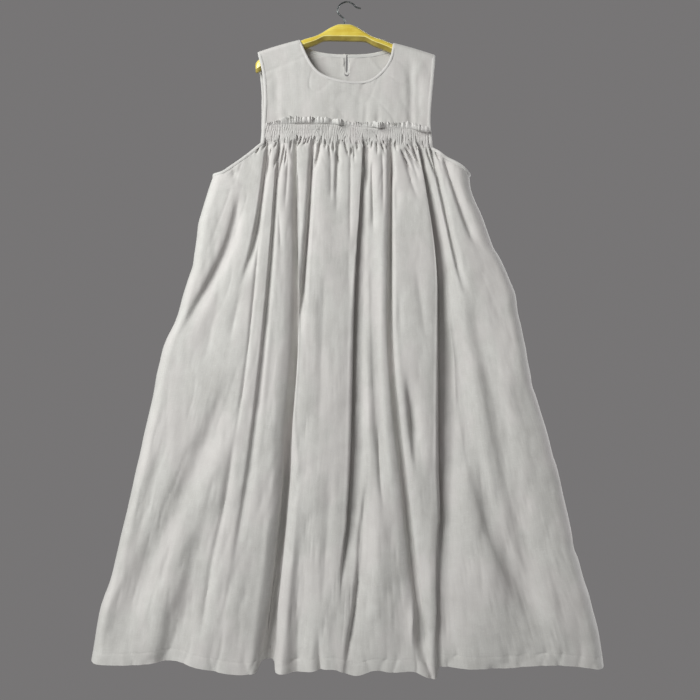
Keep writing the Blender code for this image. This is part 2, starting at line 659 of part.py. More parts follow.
# ------------------------------------------------------------------ shirred band and frill
def band_grid(side):
    """Outer points of the band: two columns for each tiny gather, crest and hollow."""
    share = np.linspace(0, 1, 2 * BAND_WAVES + 1)
    down = np.array([0, 0.5, 1])[:, None]
    x = -0.17 + 0.34 * share + 0 * down
    for _ in range(3):
        top = band_top(x) + SEAM_GAP / 2
        drop = top + (band_bottom(x, side) - SEAM_GAP / 2 - top) * down
        left, right = armhole_x(drop, side)
        x = left + (right - left) * share
    crest = np.where(np.arange(len(share)) % 2, 1.0, -1.0)
    crest[[0, -1]] = 0
    level = np.array(BAND_WAVE_LEVELS)[:, None]
    depth = wall_depth(drop, side) + BAND_WAVE_HEIGHT * crest * level
    return np.stack([x, side * depth, -drop], axis=-1)


def add_band(side, finish):
    outer = band_grid(side)
    inner = outer - np.array([0, side * BAND_CLOTH, 0])
    add_wall(f"{word(side)}_shirring", outer, inner, finish)
    return outer, inner


def add_frill(side, band, finish):
    """The heading: cloth that stands free above the band, made from the band's own points."""
    out = np.array([0, side, 0])
    top, middle = band[0], band[1]
    lap = FRILL_LAP / (top[:, 2:] - middle[:, 2:])
    root = top + (middle - top) * lap + out * (SEAM_GAP + FRILL_CLOTH)
    clear = SEAM_GAP + FRILL_CLOTH + 0.7 * BAND_WAVE_HEIGHT
    line = top + out * clear
    x = top[:, 0]
    height = read(FRILL_ROWS, FRILL_COLUMNS, "height", x)
    lean = read(FRILL_ROWS, FRILL_COLUMNS, "lean", x)
    count = np.arange(len(x))
    lively = 1 + FRILL_UNEVENNESS * np.sin(0.61 * count) * np.sin(0.23 * count + 1)
    crest = np.where(count % 2, 1, FRILL_HOLLOW * (1 + 0.5 * np.sin(0.37 * count)))
    edge = line.copy()
    edge[:, 1] += side * lean * lively * crest
    edge[:, 2] += height * lively
    outer = np.stack([edge, line, root])
    inner = outer - out * FRILL_CLOTH
    add_wall(f"{word(side)}_frill", outer, inner, finish)


# ------------------------------------------------------------------ skirt
def add_skirt(side, finish):
    columns, rows = FRONT_SKIRT_GRID if side == FRONT else BACK_SKIRT_GRID
    shares = np.linspace(0, 1, columns)
    fold_line = 1 - HEM_HEIGHT / (HEM_ROWS[-1][1] - float(band_bottom(0.0, side)))
    upper = np.linspace(0, 1, rows) ** ROW_CROWDING * (fold_line - HEM_STEP)
    downs = np.concatenate([upper, [fold_line, 1]])
    outer = skirt_grid(shares, downs, side)
    normals = wall_normals(outer, side)
    normals[0] = (0, side, 0)
    normals[:, 0] = (-1, 0, 0)
    normals[:, -1] = (1, 0, 0)
    for end, beside in ((0, 1), (-1, -2)):
        # At the underarm the wall's thickness runs on along the armhole's edge.
        tip, inward = TOP_ROWS[end], TOP_ROWS[beside]
        normals[0, end] = unit(np.array([tip[1] - inward[1], 0, inward[3] - tip[3]]))
    thickness = np.full(outer.shape[:2], CLOTH)
    thickness[-2:] = HEM_CLOTH
    inner = outer - normals * thickness[..., None]
    outer[:, [0, -1], 1] = side * SEAM_GAP / 2
    inner[:, [0, -1], 1] = side * SEAM_GAP / 2
    add_wall(f"{word(side)}_skirt", outer, inner, finish)
    return shares, outer, inner


# ------------------------------------------------------------------ bindings
def add_binding(name, outer, inner, hint, width, closed, finish, seam=SEAM_GAP):
    """A bias strip beside a panel's edge, flush with the panel's inside and a little proud
    of its outside. `outer` and `inner` are the points of that edge, and `hint` points roughly
    away from the panel."""
    thick = unit(outer - inner)
    middle = (outer + inner) / 2
    if closed:
        along = unit(np.roll(middle, -1, axis=0) - np.roll(middle, 1, axis=0))
    else:
        along = unit(np.gradient(middle, axis=0))
    thick = unit(thick - along * (thick * along).sum(-1, keepdims=True))
    away = np.cross(along, thick)
    away *= np.where((away * hint).sum(-1, keepdims=True) < 0, -1, 1)
    outside = CLOTH + BINDING_PROUD
    section = (
        (seam, 0), (seam, outside), (seam + 0.8 * width, outside),
        (seam + width, 0.6 * outside), (seam + width, 0),
    )
    rings = np.stack([inner + away * a + thick * b for a, b in section], axis=1)
    return add_tube(name, rings, closed, finish)


def shoulder_station(x):
    """Outer and inner point on the shoulder seam itself, between the two panels' edges."""
    drop = shoulder_drop(np.array([x]))
    outer = np.stack([[x], [0], -drop], axis=-1)
    return outer, outer - yoke_normal(np.array([x]), drop, FRONT) * CLOTH


def add_armhole_binding(name, pieces, finish):
    """One ring from the shoulder down the front edge, round the underarm and up the back."""
    sign, edge = (-1, 0) if name == "left" else (1, -1)
    halves = {}
    for side in (FRONT, BACK):
        _, yoke_out, yoke_in, _ = pieces[side, "yoke"]
        band_out, band_in = pieces[side, "band"]
        shares, skirt_out, skirt_in = pieces[side, "skirt"]
        corner = BAND_SHARES[0] if name == "left" else 1 - BAND_SHARES[1]
        from_side = shares if name == "left" else 1 - shares
        on_armhole = np.where((from_side > 0) & (from_side < corner))[0]
        if name == "left":
            on_armhole = on_armhole[::-1]
        halves[side] = [
            np.concatenate([yoke[1:, edge], band[1:2, edge], skirt[0, on_armhole]])
            for yoke, band, skirt in (
                (yoke_out, band_out, skirt_out), (yoke_in, band_in, skirt_in)
            )
        ]
    corner_x = float(pieces[FRONT, "yoke"][1][0, edge, 0])
    top = shoulder_station(corner_x)
    underarm = [pieces[FRONT, "skirt"][k][:1, edge].copy() for k in (1, 2)]
    loop = []
    for k in (0, 1):
        underarm[k][:, 1] = 0
        loop.append(np.concatenate(
            [top[k], halves[FRONT][k], underarm[k], halves[BACK][k][::-1]]
        ))
    hint = np.array([sign, 0, 0.9])
    add_binding(f"armhole_binding_{name}", loop[0], loop[1], hint, BINDING_WIDTH, True, finish)


def add_neck_binding(pieces, finish):
    """An open strip: from the slit round the back neck, the front neck and back to the slit."""
    _, front_out, front_in, on_shoulder = pieces[FRONT, "yoke"]
    _, back_out, back_in, _ = pieces[BACK, "yoke"]
    neck = ~on_shoulder
    x = back_out[0, :, 0]
    right = neck & (x > SLIT_X + 0.004)
    left = neck & (x < SLIT_X - 0.004)
    path = []
    for front, back, k in ((front_out, back_out, 0), (front_in, back_in, 1)):
        ends = []
        middle = np.argmin(np.abs(x - SLIT_X))
        for sign in (1, -1):
            at = SLIT_X + sign * SLIT_GAP_HALF
            beyond = middle + sign
            share = (at - back[0, middle, 0]) / (back[0, beyond, 0] - back[0, middle, 0])
            ends.append(back[0, middle] + (back[0, beyond] - back[0, middle]) * share)
        path.append(np.concatenate([
            [ends[0]], back[0, right], shoulder_station(NECK_HALF)[k],
            front[0, neck][::-1], shoulder_station(-NECK_HALF)[k], back[0, left], [ends[1]],
        ]))
    hint = np.array([0, 0, -0.03]) - path[0]
    hint[:, 1] = 0
    add_binding(
        "neck_binding", path[0], path[1], hint, BINDING_WIDTH, False, finish, NECK_SEAM_GAP
    )


def add_slit_binding(finish):
    """A strip down one side of the slit, round its end and up the other side."""
    half = SLIT_GAP_HALF + SLIT_BINDING_WIDTH + SEAM_GAP
    rim = slit_outline(half, -float(neck_drop(np.array(SLIT_X), BACK)) - SEAM_GAP)
    outer = np.array([(x, float(wall_depth(-z, BACK)), z) for x, z in rim])
    inner = outer - np.array([0, CLOTH, 0])
    hint = np.array([SLIT_X, 0, half - SLIT_END_DROP + SEAM_GAP]) - outer
    hint[[0, -1], 2] = 0
    add_binding("slit_binding", outer, inner, hint, SLIT_BINDING_WIDTH, False, finish)


def add_button_and_loop(linen, shell):
    """A small shank button outside the back neck, and the rouleau loop that holds it."""
    z = -float(neck_drop(np.array(SLIT_X), BACK)) + BINDING_WIDTH / 2
    wall = float(wall_depth(-z, BACK)) + BINDING_PROUD
    x = SLIT_X - BUTTON_OFFSET
    loop_y = wall + SEAM_GAP + LOOP_CORD_RADIUS
    disc_y = loop_y + LOOP_CORD_RADIUS + SEAM_GAP
    profile = (
        (SHANK_RADIUS, wall + SEAM_GAP), (SHANK_RADIUS, disc_y), (BUTTON_RADIUS, disc_y),
        (BUTTON_RADIUS, disc_y + 0.6 * BUTTON_THICKNESS),
        (0.75 * BUTTON_RADIUS, disc_y + BUTTON_THICKNESS),
    )
    around = np.linspace(0, 2 * math.pi, 16, endpoint=False)
    rings = np.array([
        [(x + r * math.cos(a), y, z + r * math.sin(a)) for a in around] for r, y in profile
    ])
    add_tube("back_button", rings, False, shell)
    bend = SHANK_RADIUS + SEAM_GAP + LOOP_CORD_RADIUS
    far = SLIT_X + SLIT_GAP_HALF + SLIT_BINDING_WIDTH / 2
    turn = np.linspace(math.pi / 2, 3 * math.pi / 2, 7)
    path = [(x + bend * math.cos(a), z + bend * math.sin(a)) for a in turn]
    path += [(far + bend * math.cos(a + math.pi), z + bend * math.sin(a + math.pi)) for a in turn]
    path = np.array([(px, loop_y, pz) for px, pz in path])
    along = unit(np.roll(path, -1, axis=0) - np.roll(path, 1, axis=0))
    across = np.cross(along, (0, 1, 0))
    cord = np.linspace(0, 2 * math.pi, 6, endpoint=False)
    rings = np.stack(
        [path + LOOP_CORD_RADIUS * (math.cos(a) * across + math.sin(a) * np.array([0, 1, 0]))
         for a in cord],
        axis=1,
    )
    add_tube("button_loop", rings, True, linen)


# ------------------------------------------------------------------ hanger
def add_hanger_bar(finish):
    """The shaped bar: a rounded top, flat faces and bevelled lower edges."""
    arm = column(BAR_ROWS, BAR_COLUMNS, "out")
    out = np.concatenate([-arm[::-1], arm])
    top, bottom = (
        np.interp(np.abs(out), arm, column(BAR_ROWS, BAR_COLUMNS, n))
        for n in ("top_drop", "bottom_drop")
    )
    slant = (out * math.tan(HANGER_TILT))[:, None]
    beyond = np.clip((np.abs(out) - BAR_TIP_START) / BAR_TIP_LENGTH, 0, 1)
    half = (BAR_HALF_THICKNESS * np.maximum(np.sqrt(1 - beyond**2), BAR_TIP_LEAST))[:, None]
    share, fall = np.array(BAR_TOP_SECTION).T
    height = (bottom - top)[:, None]
    y = np.concatenate(
        [-share[:0:-1], share, [1.0, BAR_BEVEL_INSET, -BAR_BEVEL_INSET, -1.0]]
    )
    level = np.concatenate([fall[:0:-1], fall])
    bevel = np.minimum(BAR_BEVEL_HEIGHT, 0.4 * height)
    drop = np.concatenate(
        [top[:, None] + level, top[:, None] + height - bevel, top[:, None] + height + 0 * bevel,
         top[:, None] + height + 0 * bevel, top[:, None] + height - bevel],
        axis=1,
    )
    rings = np.stack(
        [HANGER_X + out[:, None] + 0 * drop, half * y, -drop - slant], axis=-1
    )
    bar = add_tube("hanger_bar", rings, False, finish)
    around = np.linspace(0, 2 * math.pi, SOCKET_SIDES, endpoint=False) + math.pi / SOCKET_SIDES
    bore = (WIRE_RADIUS + SEAM_GAP) / math.cos(math.pi / SOCKET_SIDES)
    mouth = -BAR_ROWS[0][1]
    rings = np.array([
        [(HANGER_X + bore * math.cos(a), bore * math.sin(a), z) for a in around]
        for z in (mouth - STEM_SOCKET_DEPTH, mouth + BAR_HALF_THICKNESS)
    ])
    cutter = add_tube("stem_cutter", rings, False, finish)
    cutter.hide_render = True
    cutter.display_type = "WIRE"
    cut = bar.modifiers.new("stem_socket", "BOOLEAN")
    cut.object = cutter
    cut.operation = "DIFFERENCE"


def add_hook(finish):
    """Bent wire: stem, a slant out to the left, most of a circle, and a flared tip."""
    top = WIRE_RADIUS
    centre = (0.001, top - HOOK_RADIUS)
    arc = [
        (centre[0] + HOOK_RADIUS * math.cos(a), centre[1] + HOOK_RADIUS * math.sin(a))
        for a in np.radians(np.linspace(172, 34, 13))
    ]
    stem_foot = -BAR_ROWS[0][1] - STEM_SOCKET_DEPTH + SEAM_GAP
    stem = [(HANGER_X, stem_foot), (HANGER_X, -0.040), (HANGER_X, -0.0355), (-0.0062, -0.0322),
            (-0.0105, -0.0285), (-0.0158, -0.0238)]
    flare = [(0.0205, -0.0095), (0.0252, -0.0112), (0.0302, -0.0122)]
    path = np.array([(x, 0, z) for x, z in stem + arc + flare])
    along = unit(np.gradient(path, axis=0))
    across = np.cross(along, (0, 1, 0))
    around = np.linspace(0, 2 * math.pi, WIRE_SIDES, endpoint=False) + math.pi / WIRE_SIDES
    rings = np.stack(
        [path + WIRE_RADIUS * (math.cos(a) * across + math.sin(a) * np.array([0, 1, 0]))
         for a in around],
        axis=1,
    )
    add_tube("hanger_hook", rings, False, finish)


def main():
    for old in list(bpy.data.objects):
        bpy.data.objects.remove(old)
    linen = material("linen", (0.56, 0.545, 0.52), 0.85)
    shell = material("button_shell", (0.72, 0.70, 0.65), 0.35)
    painted = material("painted_hanger", (0.72, 0.56, 0.12), 0.45)
    steel = material("hook_steel", (0.13, 0.13, 0.13), 0.35, 0.9)
    pieces = {}
    for side in (FRONT, BACK):
        pieces[side, "yoke"] = add_yoke(side, linen)
        pieces[side, "band"] = add_band(side, linen)
        add_frill(side, pieces[side, "band"][0], linen)
        pieces[side, "skirt"] = add_skirt(side, linen)
    cut_slit(pieces[BACK, "yoke"][0])
    for name in ("left", "right"):
        add_armhole_binding(name, pieces, linen)
    add_neck_binding(pieces, linen)
    add_slit_binding(linen)
    add_button_and_loop(linen, shell)
    add_hanger_bar(painted)
    add_hook(steel)


main()
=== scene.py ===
"""Sleeveless linen sundress hanging flat on a lacquered clothes hanger.

The script follows the dress as it is put together: hanger, yoke, skirt, shirred band, frilled
heading, bindings, loop and button, and then the room. Metres, +Z up, and the front of the dress
faces -Y. The origin is the inner top of the hook, and a "drop" is a distance below it.
"""
import math

import bpy
import numpy as np
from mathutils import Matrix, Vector


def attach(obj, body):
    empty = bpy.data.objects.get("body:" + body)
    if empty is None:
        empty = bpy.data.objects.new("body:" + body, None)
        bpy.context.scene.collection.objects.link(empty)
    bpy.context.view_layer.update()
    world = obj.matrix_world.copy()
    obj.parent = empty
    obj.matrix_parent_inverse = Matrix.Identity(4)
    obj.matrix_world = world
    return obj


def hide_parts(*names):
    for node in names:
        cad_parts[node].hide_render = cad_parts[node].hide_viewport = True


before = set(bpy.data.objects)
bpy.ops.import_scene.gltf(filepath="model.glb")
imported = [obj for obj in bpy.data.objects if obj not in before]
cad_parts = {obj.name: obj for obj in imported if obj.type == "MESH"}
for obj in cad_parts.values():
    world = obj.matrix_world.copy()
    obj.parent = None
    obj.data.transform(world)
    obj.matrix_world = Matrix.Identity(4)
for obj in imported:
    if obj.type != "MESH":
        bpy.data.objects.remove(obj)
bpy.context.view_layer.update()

# ------------------------------------------------------------------ hanger bar
# A shaped wooden bar with a rounded top, flat faces and a chamfer along its underside. It is sprayed
# with yellow lacquer. Its rounded top and a crisp edge above the chamfer are painted pale as painted
# highlight, with patches of wear, and the chamfer is painted darker as painted shade. Its tips are
# rounded over. A hole in its middle takes the stem of the hook.
BAR_COLUMNS = ("out", "top_drop", "bottom_drop")
BAR_ROWS = (
    (0.013, 0.0450, 0.0800),
    (0.030, 0.0530, 0.0800),
    (0.044, 0.0620, 0.0810),
    (0.060, 0.0705, 0.0890),
    (0.080, 0.0765, 0.0965),
    (0.097, 0.0836, 0.1035),
    (0.140, 0.1005, 0.1215),
    (0.168, 0.1155, 0.1390),
    (0.180, 0.1230, 0.1490),
    (0.185, 0.1290, 0.1500),
)
BAR_MIDDLE = -0.004
BAR_TILT = math.radians(1.0)
BAR_HALF_THICKNESS = 0.008
BAR_STATIONS = 223
BAR_BEVEL_HEIGHT = 0.008
BAR_BEVEL_INSET = 0.45    # half width of the underside as a share of the half thickness
BAR_EDGE = 0.0005         # how far the lacquer rounds each crisp edge
BAR_TIP_START = 0.172
BAR_TIP_LENGTH = 0.0145
BAR_TIP_LEAST = 0.45
BAR_TOP_SECTION = ((0.0, 0.0), (0.32, 0.0006), (0.70, 0.0030), (1.0, 0.0068))
BAR_TOP_POINTS = 19
BAR_TOP_SOFTENING = 10    # rounds of smoothing along its top line
BAR_FOOT_SOFTENING = 6    # and along its underside
BAR_BEVEL_MOST = 0.4      # of the bar's height, where it is low
BAR_FACE = 0.999          # half width of its flat faces as a share of the half thickness
BAR_FACE_TOP = 0.002      # where a flat face begins below the rounding
BAR_FACE_FOOT = 0.003     # and ends above the chamfer
BAR_END_SIZE = 0.86       # of the last ring at each tip, for the rounding of its rim
BAR_HIGHLIGHT_AND_WEAR_TOP = 0.6        # share of its rounded top that gets the painted highlight
EDGE_ANGLE = 50           # degrees from which an edge is shaded as one
BAR_EDGE_ANGLE = 40
SOCKET_DEPTH = 0.017
SOCKET_SIDES = 24
SOCKET_RADIUS = 0.0019
WIRE_RADIUS = 0.0016
# A finish runs in soft patches from the first to the second of its pair of colours.
LACQUER = ((0.66, 0.49, 0.056, 1), (0.81, 0.67, 0.115, 1))
# Darker lacquer for the underside chamfer: painted shade, for the light that does not reach it from
# below.
PAINTED_SHADE_LACQUER = ((0.29, 0.220, 0.036, 1), (0.43, 0.340, 0.066, 1))
# Pale colour for the rounded top and the crisp edge: painted highlight, with patches of wear.
PALE_WOOD_AND_HIGHLIGHT = (0.86, 0.82, 0.42, 1)


def through(at, places, values):
    """A smooth curve through the values, with no overshoot, read at `at`."""
    places, values = np.asarray(places, float), np.asarray(values, float)
    step = np.diff(places)
    slope = np.diff(values) / step
    tangent = np.concatenate([[slope[0]], np.zeros(len(slope) - 1), [slope[-1]]])
    same_way = slope[:-1] * slope[1:] > 0
    mean = 2 * slope[:-1] * slope[1:] / np.where(same_way, slope[:-1] + slope[1:], 1)
    tangent[1:-1] = np.where(same_way, mean, 0)
    at = np.asarray(at, float)
    k = np.clip(np.searchsorted(places, at, side="right") - 1, 0, len(step) - 1)
    q = np.clip((at - places[k]) / step[k], 0, 1)
    rise = (1 + 2 * q) * (1 - q) ** 2 * values[k] + q * q * (3 - 2 * q) * values[k + 1]
    bend = q * (1 - q) ** 2 * tangent[k] - q * q * (1 - q) * tangent[k + 1]
    return rise + bend * step[k]


def read(rows, names, wanted, at):
    """The table's `wanted` column, as a smooth curve over its first column."""
    rows = np.array(rows, float)
    return through(at, rows[:, 0], rows[:, names.index(wanted)])


def ease(q):
    """0 to 1 with level ends."""
    q = np.clip(q, 0, 1)
    return q * q * (3 - 2 * q)


def unit(vectors):
    length = np.linalg.norm(vectors, axis=-1, keepdims=True)
    return vectors / np.maximum(length, 1e-12)


def soften(values, times):
    """The values with their corners rounded, ends kept."""
    values = np.array(values, float)
    for _ in range(times):
        values[1:-1] = (values[:-2] + 2 * values[1:-1] + values[2:]) / 4
    return values


def quads(index):
    """One four-sided face for each cell of a grid of point numbers."""
    corners = (index[:-1, :-1], index[1:, :-1], index[1:, 1:], index[:-1, 1:])
    return np.stack(corners, axis=-1).reshape(-1, 4).tolist()


def turns(count):
    """Angles at even steps round a circle."""
    return np.linspace(0, 2 * math.pi, count, endpoint=False)


def add_object(name, data):
    made = bpy.data.objects.new(name, data)
    bpy.context.scene.collection.objects.link(made)
    return made


def add_piece(name, points, faces, finish, uv=None, sharp=EDGE_ANGLE):
    """A mesh object with its faces turned out of the closed body, and its cloth's own UV."""
    mesh = bpy.data.meshes.new(name)
    mesh.from_pydata(np.asarray(points).tolist(), [], faces)
    mesh.calc_loop_triangles()
    corners = np.empty(3 * len(mesh.loop_triangles), np.int32)
    mesh.loop_triangles.foreach_get("vertices", corners)
    a, b, c = np.asarray(points)[corners].reshape(-1, 3, 3).transpose(1, 0, 2)
    if (a * np.cross(b, c)).sum() < 0:
        mesh.flip_normals()
    if uv is not None:
        around = np.empty(len(mesh.loops), np.int32)
        mesh.loops.foreach_get("vertex_index", around)
        mesh.uv_layers.new(name="cloth").data.foreach_set("uv", np.asarray(uv)[around].ravel())
    mesh.materials.append(finish)
    mesh.shade_smooth()
    mesh.set_sharp_from_angle(angle=math.radians(sharp))
    return add_object(name, mesh)


def add_tube(name, rings, finish, closed=False, uv=None, sharp=EDGE_ANGLE):
    """A solid through equal rings of points, with flat ends unless it closes on itself."""
    stations, sides = rings.shape[:2]
    index = np.arange(stations * sides).reshape(stations, sides)
    grid = np.concatenate([index, index[:, :1]], axis=1)
    if closed:
        grid = np.concatenate([grid, grid[:1]])
    faces = quads(grid)
    if not closed:
        faces += [index[0].tolist(), index[-1, ::-1].tolist()]
    return add_piece(name, rings.reshape(-1, 3), faces, finish, uv, sharp)


def settle(piece):
    """Turns what a piece's modifiers make into its own plain mesh."""
    seen = piece.evaluated_get(bpy.context.evaluated_depsgraph_get())
    mesh = bpy.data.meshes.new_from_object(seen)
    piece.modifiers.clear()
    piece.data = mesh


def cut_with(piece, rings):
    """Takes the solid through the rings out of a piece."""
    cutter = add_tube(piece.name + "_cutter", rings, piece.data.materials[0])
    cut = piece.modifiers.new("cut", "BOOLEAN")
    cut.object = cutter
    cut.operation = "DIFFERENCE"
    cut.solver = "EXACT"
    settle(piece)
    bpy.data.objects.remove(cutter)


def hang(piece, slot, *nodes):
    """The piece stays with the dress and stands for CAD nodes, which it hides. `slot` is not used."""
    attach(piece, "root")
    if nodes:
        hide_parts(*nodes)
    return piece


class Flow:
    """A socket of a material. Arithmetic on it adds Math nodes, and node() adds any other."""

    def __init__(self, socket):
        self.socket = socket

    def node(self, kind, settings, inputs, output=0):
        tree = self.socket.id_data
        made = tree.nodes.new(kind)
        for name, value in settings.items():
            setattr(made, name, value)
        for name, value in inputs.items():
            if isinstance(value, Flow):
                tree.links.new(made.inputs[name], value.socket)
            else:
                made.inputs[name].default_value = value
        return Flow(made.outputs[output])

    def math(self, operation, *values):
        settings = {"operation": operation}
        return self.node("ShaderNodeMath", settings, dict(enumerate(values)))

    def __add__(self, other):
        return self.math("ADD", self, other)

    def __mul__(self, other):
        return self.math("MULTIPLY", self, other)

    __radd__ = __add__
    __rmul__ = __mul__

    def grain(self, scale, detail=2.0):
        """Noise over a coordinate, with so many patches to the metre each way."""
        places = {"Vector": self, "Scale": scale}
        spread = self.node("ShaderNodeMapping", {}, places)
        noise = {"Vector": spread, "Scale": 1.0, "Detail": detail}
        return self.node("ShaderNodeTexNoise", {}, noise)

    def between(self, low, high):
        """0 where the value is below `low`, 1 where it is above `high`."""
        step = {"Value": self, "From Min": low, "From Max": high}
        return self.node("ShaderNodeMapRange", {"interpolation_type": "SMOOTHSTEP"}, step)

    def tint(self, colour, other):
        """From `colour` where the value is 0 to `other` where it is 1."""
        ends = {0: self, 6: colour, 7: other}
        return self.node("ShaderNodeMix", {"data_type": "RGBA"}, ends, 2)

    def bump(self, strength, distance):
        relief = {"Height": self, "Strength": strength, "Distance": distance}
        return self.node("ShaderNodeBump", {}, relief)


def new_finish(name, coordinate):
    """A material, its shader, and the coordinate that its pattern is drawn on."""
    made = bpy.data.materials.new(name)
    made.use_nodes = True
    nodes = made.node_tree.nodes
    place = nodes.new("ShaderNodeTexCoord").outputs[coordinate]
    return made, nodes["Principled BSDF"], Flow(place)


def feed(shader, values):
    """Sets or links the sockets of a shader."""
    for name, value in values.items():
        if isinstance(value, Flow):
            shader.id_data.links.new(shader.inputs[name], value.socket)
        else:
            shader.inputs[name].default_value = value


def attribute(place, name):
    return place.node("ShaderNodeAttribute", {"attribute_name": name}, {}, 2)


def yellow_lacquer():
    finish, shader, place = new_finish("yellow_lacquer", "Object")
    wood = place.grain((14, 420, 420), 3.0)
    cloudy = place.grain((38, 60, 60), 2.0)
    peel = place.grain((900, 900, 900), 1.0)
    edge = attribute(place, "edge")
    # Painted highlight on the top and the crisp edge, broken in patches like wear.
    highlight_and_wear = edge.between(0.1, 1.0) * (place.grain((120, 160, 160), 3.0).between(0.3, 0.55) * 0.5 + 0.5)
    body = (wood * 0.6 + cloudy * 0.4).between(0.36, 0.66).tint(*LACQUER)
    # Painted shade: where the mark is -1, on the underside chamfer, the lacquer is darkened.
    painted_shade = cloudy.between(0.3, 0.7).tint(*PAINTED_SHADE_LACQUER)
    colour = highlight_and_wear.tint((edge * -1.0).between(0.1, 0.9).tint(body, painted_shade), PALE_WOOD_AND_HIGHLIGHT)
    feed(shader, {
        "Base Color": colour,
        "Roughness": cloudy.between(0.3, 0.7) * 0.16 + 0.26,
        "Normal": (wood * 0.5 + peel * 0.5).bump(0.25, 0.0003),
        "Coat Weight": 0.55,
        "Coat Roughness": 0.12,
    })
    return finish


def bar_top(x):
    """Drop of the bar's top line, tilt included."""
    rows = np.array(BAR_ROWS)
    level = np.interp(np.abs(x - BAR_MIDDLE), rows[:, 0], rows[:, 1])
    return level + (x - BAR_MIDDLE) * math.tan(BAR_TILT)


def add_hanger_bar():
    out = np.linspace(-BAR_ROWS[-1][0], BAR_ROWS[-1][0], BAR_STATIONS)
    top = soften(read(BAR_ROWS, BAR_COLUMNS, "top_drop", np.abs(out)), BAR_TOP_SOFTENING)
    bottom = soften(read(BAR_ROWS, BAR_COLUMNS, "bottom_drop", np.abs(out)), BAR_FOOT_SOFTENING)
    beyond = np.clip((np.abs(out) - BAR_TIP_START) / BAR_TIP_LENGTH, 0, 1)
    half = BAR_HALF_THICKNESS * np.maximum(np.sqrt(1 - beyond**2), BAR_TIP_LEAST)
    share = np.linspace(-1, 1, BAR_TOP_POINTS)
    fall = through(np.abs(share), *zip(*BAR_TOP_SECTION))
    bevel = np.minimum(BAR_BEVEL_HEIGHT, BAR_BEVEL_MOST * (bottom - top))
    rings, edges = [], []
    # Each point of a ring: share of the half thickness, drop, and a mark for the lacquer's colour there,
    # from 1 where painted highlight lies on the top and the crisp edge to -1 where painted shade darkens
    # the underside.
    for x, t, b, h, v in zip(out, top, bottom, half, bevel):
        slope = (1 - BAR_BEVEL_INSET) * BAR_EDGE / v
        face = [(BAR_FACE, t + fall[-1] + BAR_FACE_TOP, 0.0), (BAR_FACE, b - v - BAR_FACE_FOOT, 0.0)]
        side = face + [
            (1.0, b - v - 2.4 * BAR_EDGE, 0.0), (1.0, b - v - BAR_EDGE, 1.0),
            (1 - 0.4 * slope, b - v, 0.9), (1 - slope, b - v + BAR_EDGE, -0.2),
            (1 - 2 * slope, b - v + 2 * BAR_EDGE, -1.0),
            (BAR_BEVEL_INSET + slope, b - BAR_EDGE, -1.0),
            (BAR_BEVEL_INSET, b - 0.2 * BAR_EDGE, -0.7), (BAR_BEVEL_INSET - 0.05, b, -1.0),
        ]
        around = [(s, t + f, float(abs(s) < BAR_HIGHLIGHT_AND_WEAR_TOP)) for s, f in zip(share, fall)]
        around += side + [(-s, d, e) for s, d, e in side[::-1]]
        lean = x * math.tan(BAR_TILT)
        rings.append([(BAR_MIDDLE + x, h * s, -d - lean) for s, d, _ in around])
        edges.append([e for _, _, e in around])
    rings = np.array(rings)
    for ring in (rings[0], rings[-1]):
        middle = ring.mean(axis=0)
        ring[:, 1:] = middle[1:] + (ring[:, 1:] - middle[1:]) * BAR_END_SIZE
    bar = add_tube("lacquered_bar", rings, yellow_lacquer(), sharp=BAR_EDGE_ANGLE)
    # A point mark of where painted highlight (1) and painted shade (-1) lie on the lacquer.
    highlight_and_shade = bar.data.attributes.new("edge", "FLOAT", "POINT")
    highlight_and_shade.data.foreach_set("value", np.array(edges).ravel())
    mouth = -BAR_ROWS[0][1]
    cut_with(bar, np.array([
        [
            (BAR_MIDDLE + SOCKET_RADIUS * math.cos(a), SOCKET_RADIUS * math.sin(a), z)
            for a in turns(SOCKET_SIDES)
        ]
        for z in (mouth - SOCKET_DEPTH, mouth + BAR_HALF_THICKNESS)
    ]))
    return hang(bar, "painted_hanger", "hanger_bar")


hanger_bar = add_hanger_bar()

# ------------------------------------------------------------------ hook
# Round steel wire, bent cold: a stem pressed into the bar, a slant out to the left, most of a
# circle and a flared tip with its end filed round. It is blued dark and rubbed bright in patches.
HOOK_STEM = (
    (-0.0040, -0.0617), (-0.0040, -0.0480), (-0.0040, -0.0400), (-0.0040, -0.0355),
    (-0.0062, -0.0322), (-0.0105, -0.0285), (-0.0158, -0.0238),
)
HOOK_CENTRE = (0.001, -0.0184)
HOOK_RADIUS = 0.020
HOOK_BEND = (172, 34)     # degrees at which the round part begins and ends
HOOK_BEND_POINTS = 25
HOOK_FLARE = ((0.0205, -0.0095), (0.0252, -0.0112), (0.0302, -0.0122))
HOOK_SOFTENING = 4
HOOK_TIP_RADIUS = 0.0002
WIRE_STATIONS = 150
WIRE_SIDES = 20
BLUED_STEEL = ((0.060, 0.068, 0.070, 1), (0.135, 0.150, 0.148, 1))
RUBBED_STEEL = (0.36, 0.38, 0.37, 1)


def dark_steel():
    finish, shader, place = new_finish("dark_steel", "Object")
    drawn = place.grain((700, 700, 700), 3.0)
    cloudy = place.grain((150, 150, 150), 2.0)
    rubbed = place.grain((320, 320, 320), 3.0).between(0.52, 0.72)
    body = cloudy.between(0.35, 0.65).tint(*BLUED_STEEL)
    feed(shader, {
        "Base Color": rubbed.tint(body, RUBBED_STEEL),
        "Roughness": drawn.between(0.3, 0.7) * 0.2 + 0.24,
        "Metallic": 0.85,
        "Normal": drawn.bump(0.2, 0.0001),
    })
    return finish


def far_along(points):
    """How far along a line of points each of them lies."""
    return np.concatenate([[0], np.linalg.norm(np.diff(points, axis=0), axis=-1)]).cumsum()


def directions(line, closed):
    """The way the line runs at each of its points."""
    if closed:
        return unit(np.roll(line, -1, axis=0) - np.roll(line, 1, axis=0))
    return unit(np.gradient(line, axis=0))


